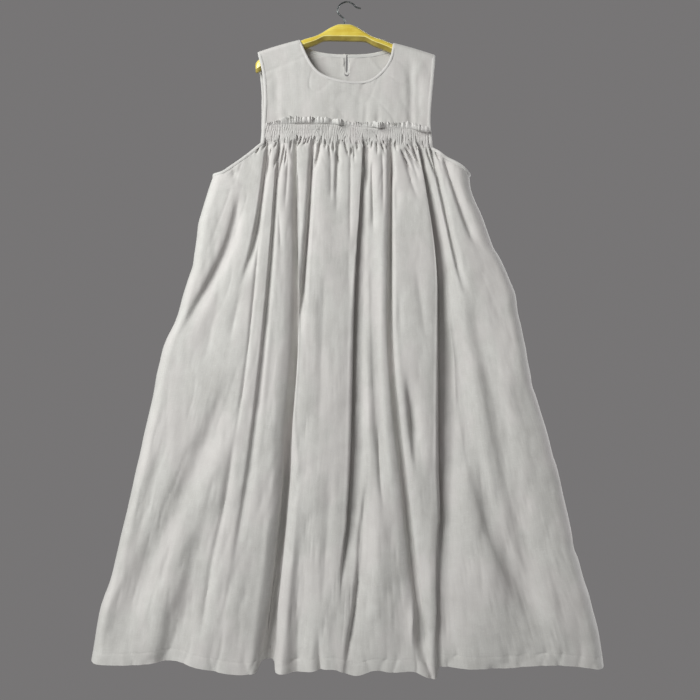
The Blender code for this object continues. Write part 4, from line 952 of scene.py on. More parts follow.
# Main folds: hollows that run down the skirt. Centre line through four evenly spaced stations,
# half width and depth at the start, middle and end, and the lengths of deepening and dying away.
FOLD_COLUMNS = (
    "start", "end", "x0", "x1", "x2", "x3", "half0", "half1", "half2",
    "deep0", "deep1", "deep2", "fade_in", "fade_out", "skew",
)
FOLDS = {
    FRONT: (
        (0.380, 0.720, -0.214, -0.238, -0.290, -0.352,
         0.009, 0.012, 0.012, 0.007, 0.012, 0.008, 0.080, 0.130, 0.3),
        (0.740, 1.372, -0.222, -0.302, -0.400, -0.487,
         0.018, 0.024, 0.026, 0.004, 0.010, 0.007, 0.120, 0.160, 0.3),
        (0.990, 1.372, -0.262, -0.298, -0.330, -0.362,
         0.016, 0.022, 0.026, 0.004, 0.009, 0.018, 0.120, 0.000, 0.2),
        (0.287, 0.620, -0.162, -0.173, -0.190, -0.222,
         0.0032, 0.0045, 0.008, 0.012, 0.014, 0.005, 0.016, 0.120, 0.2),
        (0.284, 1.220, -0.138, -0.159, -0.190, -0.236,
         0.0034, 0.0055, 0.012, 0.012, 0.009, 0.005, 0.016, 0.160, 0.4),
        (0.286, 1.372, -0.103, -0.0985, -0.1245, -0.162,
         0.0032, 0.0098, 0.0140, 0.018, 0.050, 0.056, 0.016, 0.000, -0.60),
        (0.281, 0.700, -0.067, -0.0735, -0.0825, -0.0905,
         0.0034, 0.0042, 0.005, 0.015, 0.020, 0.022, 0.018, 0.120, 0.0),
        (0.290, 0.460, -0.018, -0.020, -0.021, -0.022,
         0.0030, 0.004, 0.006, 0.009, 0.007, 0.003, 0.016, 0.100, 0.3),
        (0.286, 1.250, 0.036, 0.0170, 0.0085, -0.012,
         0.0036, 0.020, 0.014, 0.016, 0.029, 0.020, 0.016, 0.200, 0.74),
        (0.400, 1.060, 0.054, 0.057, 0.064, 0.076,
         0.010, 0.012, 0.010, 0.006, 0.009, 0.006, 0.080, 0.150, 0.1),
        (1.000, 1.372, 0.040, 0.034, 0.019, 0.001,
         0.010, 0.012, 0.014, 0.007, 0.009, 0.006, 0.080, 0.000, 0.5),
        (1.020, 1.372, -0.082, -0.092, -0.099, -0.102,
         0.014, 0.018, 0.020, 0.004, 0.009, 0.012, 0.140, 0.000, 0.2),
        (0.284, 1.372, 0.093, 0.091, 0.119, 0.163,
         0.0030, 0.009, 0.012, 0.022, 0.026, 0.016, 0.016, 0.080, -0.25),
        (0.760, 0.980, 0.124, 0.131, 0.137, 0.143,
         0.009, 0.010, 0.010, 0.008, 0.016, 0.012, 0.080, 0.100, 0.3),
        (0.290, 1.240, 0.146, 0.186, 0.188, 0.198,
         0.0032, 0.020, 0.032, 0.015, 0.060, 0.030, 0.016, 0.340, 0.78),
        (0.880, 1.372, 0.189, 0.188, 0.187, 0.192,
         0.014, 0.021, 0.024, 0.006, 0.019, 0.021, 0.200, 0.000, 0.55),
        (0.296, 0.640, 0.172, 0.196, 0.221, 0.252,
         0.0028, 0.0040, 0.007, 0.013, 0.012, 0.006, 0.016, 0.120, 0.2),
        (0.600, 1.260, 0.246, 0.298, 0.338, 0.402,
         0.016, 0.022, 0.022, 0.005, 0.012, 0.011, 0.110, 0.140, 0.15),
        (0.640, 1.330, 0.217, 0.246, 0.306, 0.428,
         0.016, 0.022, 0.024, 0.009, 0.016, 0.015, 0.080, 0.120, 0.15),
        (0.320, 0.540, 0.199, 0.221, 0.246, 0.276,
         0.005, 0.006, 0.008, 0.009, 0.010, 0.005, 0.020, 0.090, 0.2),
        (0.760, 0.920, 0.340, 0.362, 0.385, 0.405,
         0.016, 0.016, 0.014, 0.005, 0.006, 0.004, 0.070, 0.070, 0.0),
    ),
    BACK: (
        (0.290, 0.760, -0.166, -0.212, -0.262, -0.310,
         0.007, 0.012, 0.014, 0.008, 0.011, 0.006, 0.018, 0.140, 0.2),
        (0.288, 1.372, -0.136, -0.190, -0.262, -0.352,
         0.007, 0.015, 0.024, 0.009, 0.016, 0.020, 0.018, 0.000, 0.4),
        (0.288, 0.900, -0.104, -0.128, -0.152, -0.186,
         0.006, 0.012, 0.014, 0.008, 0.012, 0.006, 0.018, 0.160, -0.2),
        (0.288, 1.372, -0.070, -0.096, -0.142, -0.206,
         0.007, 0.016, 0.024, 0.010, 0.020, 0.024, 0.018, 0.000, 0.5),
        (0.288, 1.372, -0.022, -0.028, -0.046, -0.070,
         0.007, 0.014, 0.022, 0.010, 0.018, 0.024, 0.018, 0.000, -0.3),
        (0.288, 0.820, 0.018, 0.020, 0.026, 0.030,
         0.006, 0.011, 0.012, 0.008, 0.012, 0.006, 0.018, 0.160, 0.2),
        (0.288, 1.372, 0.058, 0.066, 0.074, 0.072,
         0.007, 0.016, 0.024, 0.010, 0.020, 0.024, 0.018, 0.000, 0.4),
        (0.288, 1.372, 0.100, 0.132, 0.170, 0.216,
         0.007, 0.014, 0.022, 0.010, 0.016, 0.022, 0.018, 0.000, -0.3),
        (0.300, 0.980, 0.138, 0.186, 0.232, 0.282,
         0.006, 0.012, 0.014, 0.008, 0.012, 0.006, 0.018, 0.160, 0.2),
        (0.304, 1.372, 0.168, 0.232, 0.302, 0.382,
         0.007, 0.015, 0.022, 0.009, 0.014, 0.018, 0.018, 0.000, -0.4),
    ),
}
# Narrow creases with sharp floors, in the same way.
CREASE_COLUMNS = (
    "start", "end", "x0", "x1", "x2", "x3",
    "half0", "half1", "deep0", "deep1", "fade_in", "fade_out",
)
CREASES = {
    FRONT: (
        (0.300, 0.400, 0.0930, 0.0935, 0.0940, 0.0945, 0.0024, 0.0026, 0.0120, 0.0080, 0.010, 0.040),
        (0.400, 0.500, -0.1045, -0.1042, -0.1040, -0.1040, 0.0030, 0.0030, 0.0140, 0.0100, 0.030, 0.030),
        (0.300, 0.400, 0.0440, 0.0430, 0.0420, 0.0405, 0.0024, 0.0030, 0.0120, 0.0080, 0.010, 0.040),
        (0.427, 0.906, -0.1727, -0.1866, -0.2027, -0.2258, 0.0026, 0.0026, 0.0040, 0.0035, 0.050, 0.060),
        (0.605, 0.707, -0.2166, -0.2232, -0.2299, -0.2365, 0.0080, 0.0080, 0.0050, 0.0040, 0.030, 0.040),
        (0.427, 0.523, -0.1400, -0.1377, -0.1354, -0.1334, 0.0026, 0.0026, 0.0035, 0.0030, 0.030, 0.030),
        (0.290, 0.358, -0.0546, -0.0560, -0.0603, -0.0666, 0.0030, 0.0030, 0.0050, 0.0030, 0.010, 0.020),
        (0.311, 0.509, 0.0073, 0.0063, 0.0046, 0.0032, 0.0026, 0.0030, 0.0035, 0.0025, 0.020, 0.040),
        (0.499, 0.632, 0.0012, 0.0012, 0.0012, 0.0012, 0.0090, 0.0090, 0.0030, 0.0030, 0.050, 0.050),
        (0.333, 0.482, 0.0525, 0.0532, 0.0546, 0.0563, 0.0032, 0.0040, 0.0070, 0.0090, 0.020, 0.040),
        (0.307, 0.420, 0.1165, 0.1242, 0.1331, 0.1464, 0.0026, 0.0026, 0.0045, 0.0030, 0.010, 0.030),
        (0.318, 0.379, 0.1246, 0.1343, 0.1401, 0.1446, 0.0026, 0.0026, 0.0045, 0.0030, 0.010, 0.020),
        (0.288, 0.358, 0.1351, 0.1382, 0.1423, 0.1468, 0.0030, 0.0030, 0.0060, 0.0040, 0.010, 0.020),
        (0.311, 0.441, 0.1556, 0.1589, 0.1717, 0.1831, 0.0028, 0.0030, 0.0060, 0.0040, 0.020, 0.040),
        (0.375, 0.454, 0.1036, 0.1035, 0.1034, 0.1033, 0.0060, 0.0060, 0.0030, 0.0030, 0.030, 0.030),
        (0.591, 0.713, 0.1091, 0.1090, 0.1089, 0.1089, 0.0080, 0.0080, 0.0030, 0.0030, 0.050, 0.050),
        (0.350, 0.375, -0.2288, -0.2301, -0.2313, -0.2326, 0.0045, 0.0045, 0.0030, 0.0030, 0.010, 0.012),
        (0.885, 1.313, -0.2238, -0.2459, -0.2756, -0.2955, 0.0060, 0.0080, 0.0060, 0.0080, 0.080, 0.070),
        (0.875, 1.051, 0.0640, 0.0661, 0.0690, 0.0781, 0.0028, 0.0030, 0.0045, 0.0030, 0.040, 0.050),
        (0.986, 1.357, 0.0458, 0.0263, 0.0186, -0.0028, 0.0040, 0.0050, 0.0050, 0.0080, 0.050, 0.030),
        (0.966, 1.015, 0.4184, 0.4231, 0.4277, 0.4324, 0.0060, 0.0060, 0.0035, 0.0030, 0.020, 0.030),
        (1.293, 1.381, 0.1426, 0.1514, 0.1609, 0.1707, 0.0050, 0.0060, 0.0060, 0.0090, 0.040, 0.000),
        (1.289, 1.369, -0.0583, -0.0563, -0.0543, -0.0523, 0.0050, 0.0070, 0.0060, 0.0120, 0.040, 0.000),
        (0.784, 0.877, 0.3279, 0.3419, 0.3552, 0.3681, 0.0120, 0.0120, 0.0040, 0.0040, 0.040, 0.040),
        (0.343, 0.499, -0.0954, -0.0937, -0.0921, -0.0906, 0.0030, 0.0030, 0.0025, 0.0020, 0.030, 0.040),
        (0.311, 0.427, -0.0339, -0.0323, -0.0324, -0.0336, 0.0030, 0.0034, 0.0030, 0.0025, 0.020, 0.040),
        (0.311, 0.447, 0.0732, 0.0747, 0.0749, 0.0747, 0.0030, 0.0034, 0.0035, 0.0025, 0.020, 0.050),
        (0.311, 0.447, -0.1204, -0.1214, -0.1240, -0.1276, 0.0030, 0.0032, 0.0035, 0.0025, 0.020, 0.050),
        (0.540, 0.768, -0.2474, -0.2610, -0.2759, -0.2931, 0.0120, 0.0140, 0.0030, 0.0040, 0.080, 0.080),
        (0.621, 0.906, -0.1453, -0.1518, -0.1604, -0.1710, 0.0090, 0.0120, 0.0030, 0.0040, 0.080, 0.080),
        (0.540, 0.906, -0.0437, -0.0476, -0.0522, -0.0576, 0.0100, 0.0130, 0.0030, 0.0040, 0.100, 0.100),
        (0.946, 1.248, -0.0332, -0.0382, -0.0435, -0.0493, 0.0110, 0.0130, 0.0040, 0.0050, 0.100, 0.080),
        (0.540, 0.713, 0.1397, 0.1468, 0.1534, 0.1596, 0.0060, 0.0080, 0.0030, 0.0030, 0.060, 0.060),
        (0.906, 1.148, 0.2910, 0.3042, 0.3189, 0.3348, 0.0120, 0.0140, 0.0030, 0.0040, 0.080, 0.100),
        (1.067, 1.289, 0.3917, 0.4092, 0.4256, 0.4414, 0.0120, 0.0150, 0.0040, 0.0060, 0.100, 0.060),
        (0.906, 1.148, -0.3676, -0.3875, -0.4108, -0.4375, 0.0120, 0.0140, 0.0030, 0.0040, 0.080, 0.090),
        (1.208, 1.353, -0.3464, -0.3559, -0.3658, -0.3761, 0.0100, 0.0140, 0.0040, 0.0070, 0.070, 0.000),
        (1.228, 1.373, -0.0937, -0.0965, -0.0984, -0.0997, 0.0090, 0.0120, 0.0040, 0.0060, 0.060, 0.000),
    ),
    BACK: (
        (0.310, 0.520, -0.1850, -0.1980, -0.2120, -0.2280, 0.0030, 0.0034, 0.0050, 0.0030, 0.020, 0.060),
        (0.310, 0.620, -0.1200, -0.1280, -0.1370, -0.1480, 0.0030, 0.0040, 0.0050, 0.0030, 0.020, 0.080),
        (0.310, 0.480, -0.0480, -0.0520, -0.0560, -0.0610, 0.0030, 0.0034, 0.0045, 0.0030, 0.020, 0.050),
        (0.310, 0.560, 0.0380, 0.0400, 0.0430, 0.0450, 0.0030, 0.0036, 0.0050, 0.0030, 0.020, 0.070),
        (0.310, 0.500, 0.0800, 0.0880, 0.0960, 0.1040, 0.0030, 0.0034, 0.0045, 0.0030, 0.020, 0.060),
        (0.310, 0.600, 0.1220, 0.1400, 0.1560, 0.1740, 0.0030, 0.0040, 0.0050, 0.0030, 0.020, 0.080),
        (0.700, 1.100, -0.0900, -0.1050, -0.1220, -0.1380, 0.0100, 0.0140, 0.0040, 0.0050, 0.100, 0.100),
        (0.760, 1.200, 0.1050, 0.1180, 0.1320, 0.1460, 0.0100, 0.0140, 0.0040, 0.0050, 0.100, 0.100),
        (0.860, 1.372, -0.2400, -0.2800, -0.3200, -0.3640, 0.0060, 0.0090, 0.0050, 0.0080, 0.100, 0.000),
        (0.900, 1.372, 0.2500, 0.2850, 0.3200, 0.3550, 0.0060, 0.0090, 0.0050, 0.0080, 0.100, 0.000),
        (1.100, 1.372, -0.0150, -0.0120, -0.0080, -0.0040, 0.0060, 0.0090, 0.0040, 0.0080, 0.080, 0.000),
    ),
}
# Thin lit edges of cloth that stand up inside the deepest hollows, in the same way.
SLIVERS = {
    FRONT: (
        (0.530, 0.739, -0.0987, -0.0986, -0.0989, -0.0993, 0.0030, 0.0030, 0.0050, 0.0050, 0.050, 0.050),
        (1.148, 1.325, -0.1403, -0.1506, -0.1574, -0.1623, 0.0030, 0.0030, 0.0080, 0.0080, 0.060, 0.050),
        (0.570, 0.855, 0.2028, 0.2110, 0.2216, 0.2222, 0.0050, 0.0060, 0.0060, 0.0050, 0.040, 0.060),
        (1.220, 1.325, 0.1285, 0.1299, 0.1312, 0.1324, 0.0032, 0.0032, 0.0080, 0.0070, 0.050, 0.040),
        (0.672, 0.916, 0.0398, 0.0420, 0.0440, 0.0458, 0.0070, 0.0080, 0.0030, 0.0040, 0.060, 0.050),
    ),
    BACK: (),
}


def swell(at, middle, half):
    """1 in the middle, dying away evenly on both sides."""
    return np.exp(-(((at - middle) / half) ** 2))


def sharp_floor(across):
    """Profile of a narrow crease: a sharp floor between two rounded shoulders."""
    return np.exp(FLOOR_ROUND - np.sqrt(across**2 + FLOOR_ROUND**2))


def small_gathers(x, drop, side):
    """Depth of the short slits between the gathers."""
    total = 0
    for x0, start, x1, end, half, deep in GATHERS[side]:
        q = (drop - start) / (end - start)
        inside = np.clip(q, 0, 1)
        away = x - x0 - (x1 - x0) * inside**GATHER_BEND
        deep = deep * GATHER_STRENGTH * ease(q / GATHER_FADES[0]) * ease((1 - q) / GATHER_FADES[1])
        half = half * (GATHER_SPREAD + GATHER_SPREAD * inside)
        total = total + deep * sharp_floor(away / half) ** GATHER_CRISP
    return total


def band_bottom(x, side):
    """Drop of the band's lower edge, where the skirt's panel begins."""
    rows = np.array(TOP_ROWS)
    return through(x, rows[:, 1 if side == FRONT else 2], rows[:, 3])


def shirred(x, drop, side):
    """Relief of the tiny pleats that the gathering threads draw up."""
    # How far they wander from even places, in pleats.
    wander = uneven(x, drop, 0.009, 0.026, 41 + side) + 0.8 * uneven(x, drop, 0.05, 0.05, 45)
    wander += 0.25 * uneven(x, drop, 0.005, 0.007, 47 + side)
    pleat = np.abs(np.sin(math.pi * (x / SHIRRING_PITCH + wander))) ** PLEAT_ROUND
    lively = PLEAT_LIVELY[0] + PLEAT_LIVELY[1] * uneven(x, drop, 0.0055, 0.007, 51 + side)
    return SHIRRING_DEEP * lively * (pleat - PLEAT_MEAN)


def lies_along(row, names, x, drop):
    """Distance across from a fold's centre line, its half width and its depth there."""
    f = dict(zip(names, row))
    q = np.clip((drop - f["start"]) / (f["end"] - f["start"]), 0, 1)
    centre, half, deep = (
        through(q, np.linspace(0, 1, len(stations)), stations)
        for stations in (
            [value for name, value in f.items() if name.startswith(kind)]
            for kind in ("x", "half", "deep")
        )
    )
    if f["fade_in"]:
        deep = deep * ease((drop - f["start"]) / f["fade_in"])
    if f["fade_out"]:
        deep = deep * ease((f["end"] - drop) / f["fade_out"])
    return x - centre, half, deep


def side_x(drop):
    """x of the left and the right side seam."""
    return [read(SIDE_ROWS, SIDE_COLUMNS, name, drop) for name in ("left", "right")]


def guide_x(share, drop):
    """x of a thread of the front skirt: between the two guide lines beside it."""
    left, right = side_x(drop)
    lines = [left, *(through(drop, GUIDE_DROPS, row[1:]) for row in GUIDE_ROWS), right]
    places = np.array([0.0, *(row[0] for row in GUIDE_ROWS), 1.0])
    k = np.clip(np.searchsorted(places, share, side="right") - 1, 0, len(places) - 2)
    beyond = (share - places[k]) / (places[k + 1] - places[k])
    lines = np.stack(lines)
    low = np.take_along_axis(lines, k[None], axis=0)[0]
    high = np.take_along_axis(lines, k[None] + 1, axis=0)[0]
    return low + (high - low) * beyond


def skirt_threads(shares, downs, side):
    """x and drop of every point of a panel: rows go down it, columns follow its threads."""
    top_x = read(TOP_ROWS, TOP_COLUMNS, word(side) + "_x", shares)
    top_drop = read(TOP_ROWS, TOP_COLUMNS, "drop", shares)
    corner, far_corner = HEM_ROWS[0][0], HEM_ROWS[-1][0]
    if side == FRONT:
        hem_x = guide_x(shares, np.full(shares.shape, GUIDE_DROPS[-1]))
    else:
        hem_x = corner + (far_corner - corner) * shares
    hem_drop = read(HEM_ROWS, HEM_COLUMNS, word(side), hem_x)
    drop = top_drop + (hem_drop - top_drop) * downs
    left, right = side_x(drop)
    if side == FRONT:
        held = (1 - downs) ** TOP_RELEASE
        x = guide_x(shares, drop) + (top_x - guide_x(shares, top_drop)) * held
    else:
        top_left, top_right = side_x(top_drop)
        top_share = (top_x - top_left) / (top_right - top_left)
        x = left + (right - left) * (top_share + (shares - top_share) * downs**BACK_SPREAD)
    return x, drop, np.minimum(x - left, right - x)


def fold_floor(across, away, skew, crisp, gentle, sharp):
    """Profile of a main fold, from 1 at its bottom to 0 well beside it."""
    floor = (1 - TAIL) / (1 + across**4) + TAIL / (1 + (across / TAIL_HALF) ** 2)
    floor = floor + (np.exp(-SOFT_FLOOR * across**2) - floor) * (1 - crisp)
    shelf = 1 / (1 + across**4) if skew > 0 else np.exp(-across)
    tucked = TUCK * swell(away, 0, TUCK_HALF) + (1 - TUCK) * shelf
    floor = floor + (tucked - floor) * gentle
    return floor + (sharp_floor(across) - floor) * sharp


def hollows(x, drop, below, side):
    """How deep the folds and creases are there, and how far they draw the cloth sideways."""
    sharp = 1 - ease((below - FLOOR_OPENS[0]) / FLOOR_OPENS[1])
    level = 1 - ease((drop - HOLLOWS_LEVEL[0]) / HOLLOWS_LEVEL[1])
    at_hem = 1 - (1 - PINCH_AT_HEM) * ease((drop - HEM_EASING[0]) / HEM_EASING[1])
    taken = lean = 0
    for row in FOLDS[side]:
        start, end, stated_skew = row[0], row[1], row[-1]
        runs_long = start < LONG_HOLLOW[0] and end > LONG_HOLLOW[1]
        skew = stated_skew * (level if runs_long else 1)
        away, half, deep = lies_along(row, FOLD_COLUMNS, x, drop)
        toward = np.sign(away)
        gentle = np.clip(GENTLE_SIDE * skew * toward, 0, 1)
        half = half * (1 + skew * toward)
        across = np.abs(away) / half
        crisp = ease((deep / half - CRISP[0]) / CRISP[1])
        taken = taken + deep * fold_floor(across, away, stated_skew, crisp, gentle, sharp)
        taken = taken - LIP * deep * swell(across, *LIP_PLACE) * (1 - gentle) * crisp
        strong = np.clip(deep / FULL_PINCH, 0, 1) ** 2 * crisp * at_hem
        over = half * PINCH * strong * (1 - gentle)
        lean = lean - toward * over * swell(across, *LEAN_PLACE)
        steep = PINCH_SKEW * np.maximum(-skew * toward, 0) * strong
        beyond = (np.abs(away) - STEEP_START * half) / STEEP_LENGTH
        far = np.exp(-np.maximum(beyond - 1, 0) / STEEP_REACH)
        lean = lean - toward * steep * ease(beyond) * far
    for row in CREASES[side]:
        away, half, deep = lies_along(row, CREASE_COLUMNS, x, drop)
        taken = taken + deep * sharp_floor(away / half)
    return taken + small_gathers(x, drop, side), lean


def hollowed(full, taken):
    """Depth of a wall once its hollows are taken: they never reach the other wall."""
    most = full - HOLLOW_HALF
    return full - most * np.tanh(taken / most)


def skirt_surface(shares, downs, side):
    """Outside of a panel, with its folds, its unevenness and the turn at each side seam."""
    x, drop, near = skirt_threads(shares, downs, side)
    calm = ease(near / SIDE_CALM)
    below = drop - drop[0]
    under_band = ease(below / TOP_CALM)
    taken, lean = hollows(x, drop, below, side)
    lower = ease((drop - LOWER_SKIRT[0]) / LOWER_SKIRT[1])
    ripple = ripples(SKIRT_RIPPLES, x, drop, side, lower)
    ripple -= (SKIRT_CRUMPLE + SKIRT_CRUMPLE_GROWTH * lower) * crumple(x, drop, 95 + 4 * side)
    ripple *= under_band
    run_out = SHIRRING_RUN_OUT * (1 + RUN_OUT_UNEVEN * uneven(x, 0 * x, 0.011, 1, 99 + side))
    ripple += SHIRRING_LEFT * shirred(x, drop, side) * (1 - ease(below / run_out))
    depth = hollowed(wall_depth(drop, side), taken) + ripple * calm
    for row in SLIVERS[side]:
        away, half, deep = lies_along(row, CREASE_COLUMNS, x, drop)
        depth = depth + deep * sharp_floor(away / half)
    turn_in = near / (SIDE_ROUND + SIDE_ROUND_GROWTH * downs)
    depth = depth * np.sqrt(1 - (1 - np.clip(turn_in, 0, 1)) ** 2)
    depth = depth - HEM_SEAM_DEEP * swell(downs, hem_fold(side), HEM_SEAM_HALF) * calm
    return np.stack([x + lean * calm, side * (SEAM_GAP / 6 + depth), -drop], axis=-1)


def hem_fold(side):
    """Share of the panel's length at which the hem's stitching runs."""
    return 1 - HEM_HEIGHT / (HEM_ROWS[-1][1] - float(band_bottom(0.0, side)))


def thread_shares(side):
    """Columns lie closest along the great folds and the sides, and close under the shirring."""
    left, right = BAND_SHARES
    even = np.linspace(0, 1, CROWD_SAMPLES)
    crowd = np.where((even > left) & (even < right), CROWD_UNDER_BAND, CROWD_OUTSIDE)
    for great in (*GREAT_FOLDS[side], 0, 1):
        crowd = crowd + CROWD_AT_FOLDS * swell(even, great, CROWD_HALF)
    far = np.concatenate([[0], np.cumsum((crowd[1:] + crowd[:-1]) / 2)])
    shares = np.interp(np.linspace(0, far[-1], SKIRT_COLUMNS), far, even)
    for corner in BAND_SHARES:
        shares[np.argmin(np.abs(shares - corner))] = corner
    return shares


def wall_normals(grid, side):
    """Unit normals of a grid of points whose columns run down that side of the dress."""
    down, along = np.gradient(grid, axis=0), np.gradient(grid, axis=1)
    return unit(np.cross(down, along)) * -side


def add_skirt(side):
    fold = hem_fold(side)
    upper = np.linspace(0, 1, SKIRT_ROWS - HEM_ROWS_OF_CLOTH) ** SKIRT_CROWDING
    seam = [fold - HEM_SEAM_ROWS, fold, fold + HEM_SEAM_ROWS]
    hem = np.linspace(fold + HEM_SEAM_CLEAR, 1, HEM_ROWS_OF_CLOTH - len(seam))
    down = np.concatenate([upper * (fold - HEM_SEAM_CLEAR), seam, hem])
    shares, downs = np.meshgrid(thread_shares(side), down)
    outer = skirt_surface(shares, downs, side)
    normals = wall_normals(outer, side)
    normals[0] = (0, side, 0)
    normals[:, 0] = (-1, 0, 0)
    normals[:, -1] = (1, 0, 0)
    for end, beside in ((0, 1), (-1, -2)):
        # At the underarm the cloth's thickness runs on along the armhole's edge.
        tip, inward = TOP_ROWS[end], TOP_ROWS[beside]
        normals[0, end] = unit(np.array([tip[1] - inward[1], 0, inward[3] - tip[3]]))
    thick = LINEN + (HEM_CLOTH - LINEN) * ease((downs - fold + HEM_STEP / 2) / HEM_STEP)
    inner = outer - normals * thick[..., None]
    for wall in (outer, inner):
        wall[:, [0, -1], 1] = side * SEAM_GAP / 6
    edges[side]["skirt"] = shares[0], outer, inner
    skirt = add_cloth(f"gathered_{word(side)}_skirt", outer, inner)
    return hang(skirt, "linen", f"{word(side)}_skirt")


def cotton_thread():
    finish, shader, place = new_finish("cotton_thread", "Object")
    twist = place.grain((1500, 1500, 1500), 1.0)
    body = twist.between(0.35, 0.65).tint(*COTTON)
    feed(shader, {"Base Color": body, "Roughness": twist.between(0.3, 0.7) * 0.1 + 0.6})
    return finish


def running_stitch():
    """A node group that lays short dashes of thread along the edges of a mesh."""
    tree = bpy.data.node_groups.new("running_stitch", "GeometryNodeTree")
    for name, kind in (
        ("Line", "NodeSocketGeometry"), ("Pitch", "NodeSocketFloat"),
        ("Length", "NodeSocketFloat"), ("Radius", "NodeSocketFloat"),
        ("Thread", "NodeSocketMaterial"),
    ):
        tree.interface.new_socket(name, in_out="INPUT", socket_type=kind)
    tree.interface.new_socket("Stitches", in_out="OUTPUT", socket_type="NodeSocketGeometry")
    given = {socket.name: Flow(socket) for socket in tree.nodes.new("NodeGroupInput").outputs}
    line = given["Line"].node("GeometryNodeMeshToCurve", {}, {"Mesh": given["Line"]})
    spaced = {"Curve": line, "Length": given["Pitch"]}
    places = line.node("GeometryNodeCurveToPoints", {"mode": "LENGTH"}, spaced)
    tangent = Flow(places.socket.node.outputs["Tangent"])
    turned = line.node("FunctionNodeAlignRotationToVector", {"axis": "Z"}, {"Vector": tangent})
    radius = given["Radius"]
    size = {"X": radius, "Y": radius, "Z": given["Length"] * 0.5}
    size = line.node("ShaderNodeCombineXYZ", {}, size)
    spread = {0: STITCH_SIZES[0], 1: STITCH_SIZES[1], "Seed": STITCH_SEED}
    spread = line.node("FunctionNodeRandomValue", {"data_type": "FLOAT_VECTOR"}, spread)
    size = line.node("ShaderNodeVectorMath", {"operation": "MULTIPLY"}, {0: size, 1: spread})
    dash = {"Segments": STITCH_SIDES, "Rings": STITCH_RINGS, "Radius": 1.0}
    dash = line.node("GeometryNodeMeshUVSphere", {}, dash)
    made = {"Points": places, "Instance": dash, "Rotation": turned, "Scale": size}
    made = line.node("GeometryNodeInstanceOnPoints", {}, made)
    made = line.node("GeometryNodeRealizeInstances", {}, {"Geometry": made})
    coloured = {"Geometry": made, "Material": given["Thread"]}
    made = line.node("GeometryNodeSetMaterial", {}, coloured)
    tree.links.new(tree.nodes.new("NodeGroupOutput").inputs[0], made.socket)
    return tree


RUNNING_STITCH = running_stitch()
COTTON_THREAD = cotton_thread()


def sew(name, lines):
    """One piece of stitches along lines of points."""
    points = np.concatenate(lines)
    last = set(np.cumsum([len(line) for line in lines]) - 1)
    mesh = bpy.data.meshes.new(name)
    mesh.from_pydata(
        points.tolist(), [(k, k + 1) for k in range(len(points)) if k not in last], []
    )
    piece = add_object(name, mesh)
    stitch = piece.modifiers.new("stitch", "NODES")
    stitch.node_group = RUNNING_STITCH
    values = {
        "Pitch": STITCH_PITCH, "Length": STITCH_LENGTH, "Radius": THREAD_RADIUS,
        "Thread": COTTON_THREAD,
    }
    for item in RUNNING_STITCH.interface.items_tree:
        if item.in_out == "INPUT" and item.name in values:
            stitch[item.identifier] = values[item.name]
    settle(piece)
    piece.data.shade_smooth()
    return hang(piece, "linen")


def stitch_lines(outer, side, rows):
    """Lines on the cloth's outside, along some of its rows and clear of its ends."""
    raised = outer + wall_normals(outer, side) * STITCH_LIFT
    return [raised[row, STITCH_MARGIN:-STITCH_MARGIN] for row in rows]


def hem_line(side):
    """The row of the skirt's outside along which the hem is sewn."""
    outer = edges[side]["skirt"][1]
    return stitch_lines(outer, side, [SKIRT_ROWS - HEM_ROWS_OF_CLOTH + 1])


for side in (FRONT, BACK):
    skirt = add_skirt(side)
    stitches = sew(f"{word(side)}_hem_stitches", hem_line(side))

# ------------------------------------------------------------------ shirred band
# The top of the skirt's cloth, drawn up by rows of gathering thread and sewn over the yoke's lower
# edge. Each row pinches the cloth into tiny pleats, which puff out a little between the rows.
SHIRRING_GATHERS = 80
SHIRRING_STITCH_ROWS = 6
SHIRRING_COLUMNS_EACH = 7
SHIRRING_LEVELS = 43
SHIRRING_PUFF = 0.0004     # of the cloth between two threads
SHIRRING_SLACK = 0.0012    # soft unevenness of the whole band
SHIRRING_PROUD = 0.0018    # how far its upper edge lies over the yoke's
BAND_HALF = 0.17           # half the width that the first round of fitting starts from
THREAD_UNEVEN = (0.5, 0.5)    # how hard the threads pull on average, and how far that varies
PLEATS_AT_THREAD = (0.55, 0.45)    # height of the pleats at a thread, and gained between two
PLEATS_AT_TOP = (0.45, 0.55)       # and at the upper edge, and gained below it
# Shares of the band's height: over which the pleats are gained at the top, where they begin to
# open into the skirt's and over what length, over which the slack comes in at the top and goes at
# the foot, and over which the band lies down again. The last is of its width, clear of hollows.
TOP_SHARE = 0.12
LOW_SHARE = (0.7, 0.3)
SLACK_SHARES = (0.1, 0.2)
PROUD_SHARE = 0.4
LEAN_SHARE = 0.03
THREAD_LEVELS = (2, 7, 14, 21, 28, 35)
# A darker copy of the same linen: painted shade, for the small shadows between the band's tiny pleats.
BAND_PAINTED_SHADE_FINISH = linen("shirred_linen_painted_shade", (0.468, 0.455, 0.440), (0.604, 0.594, 0.578))


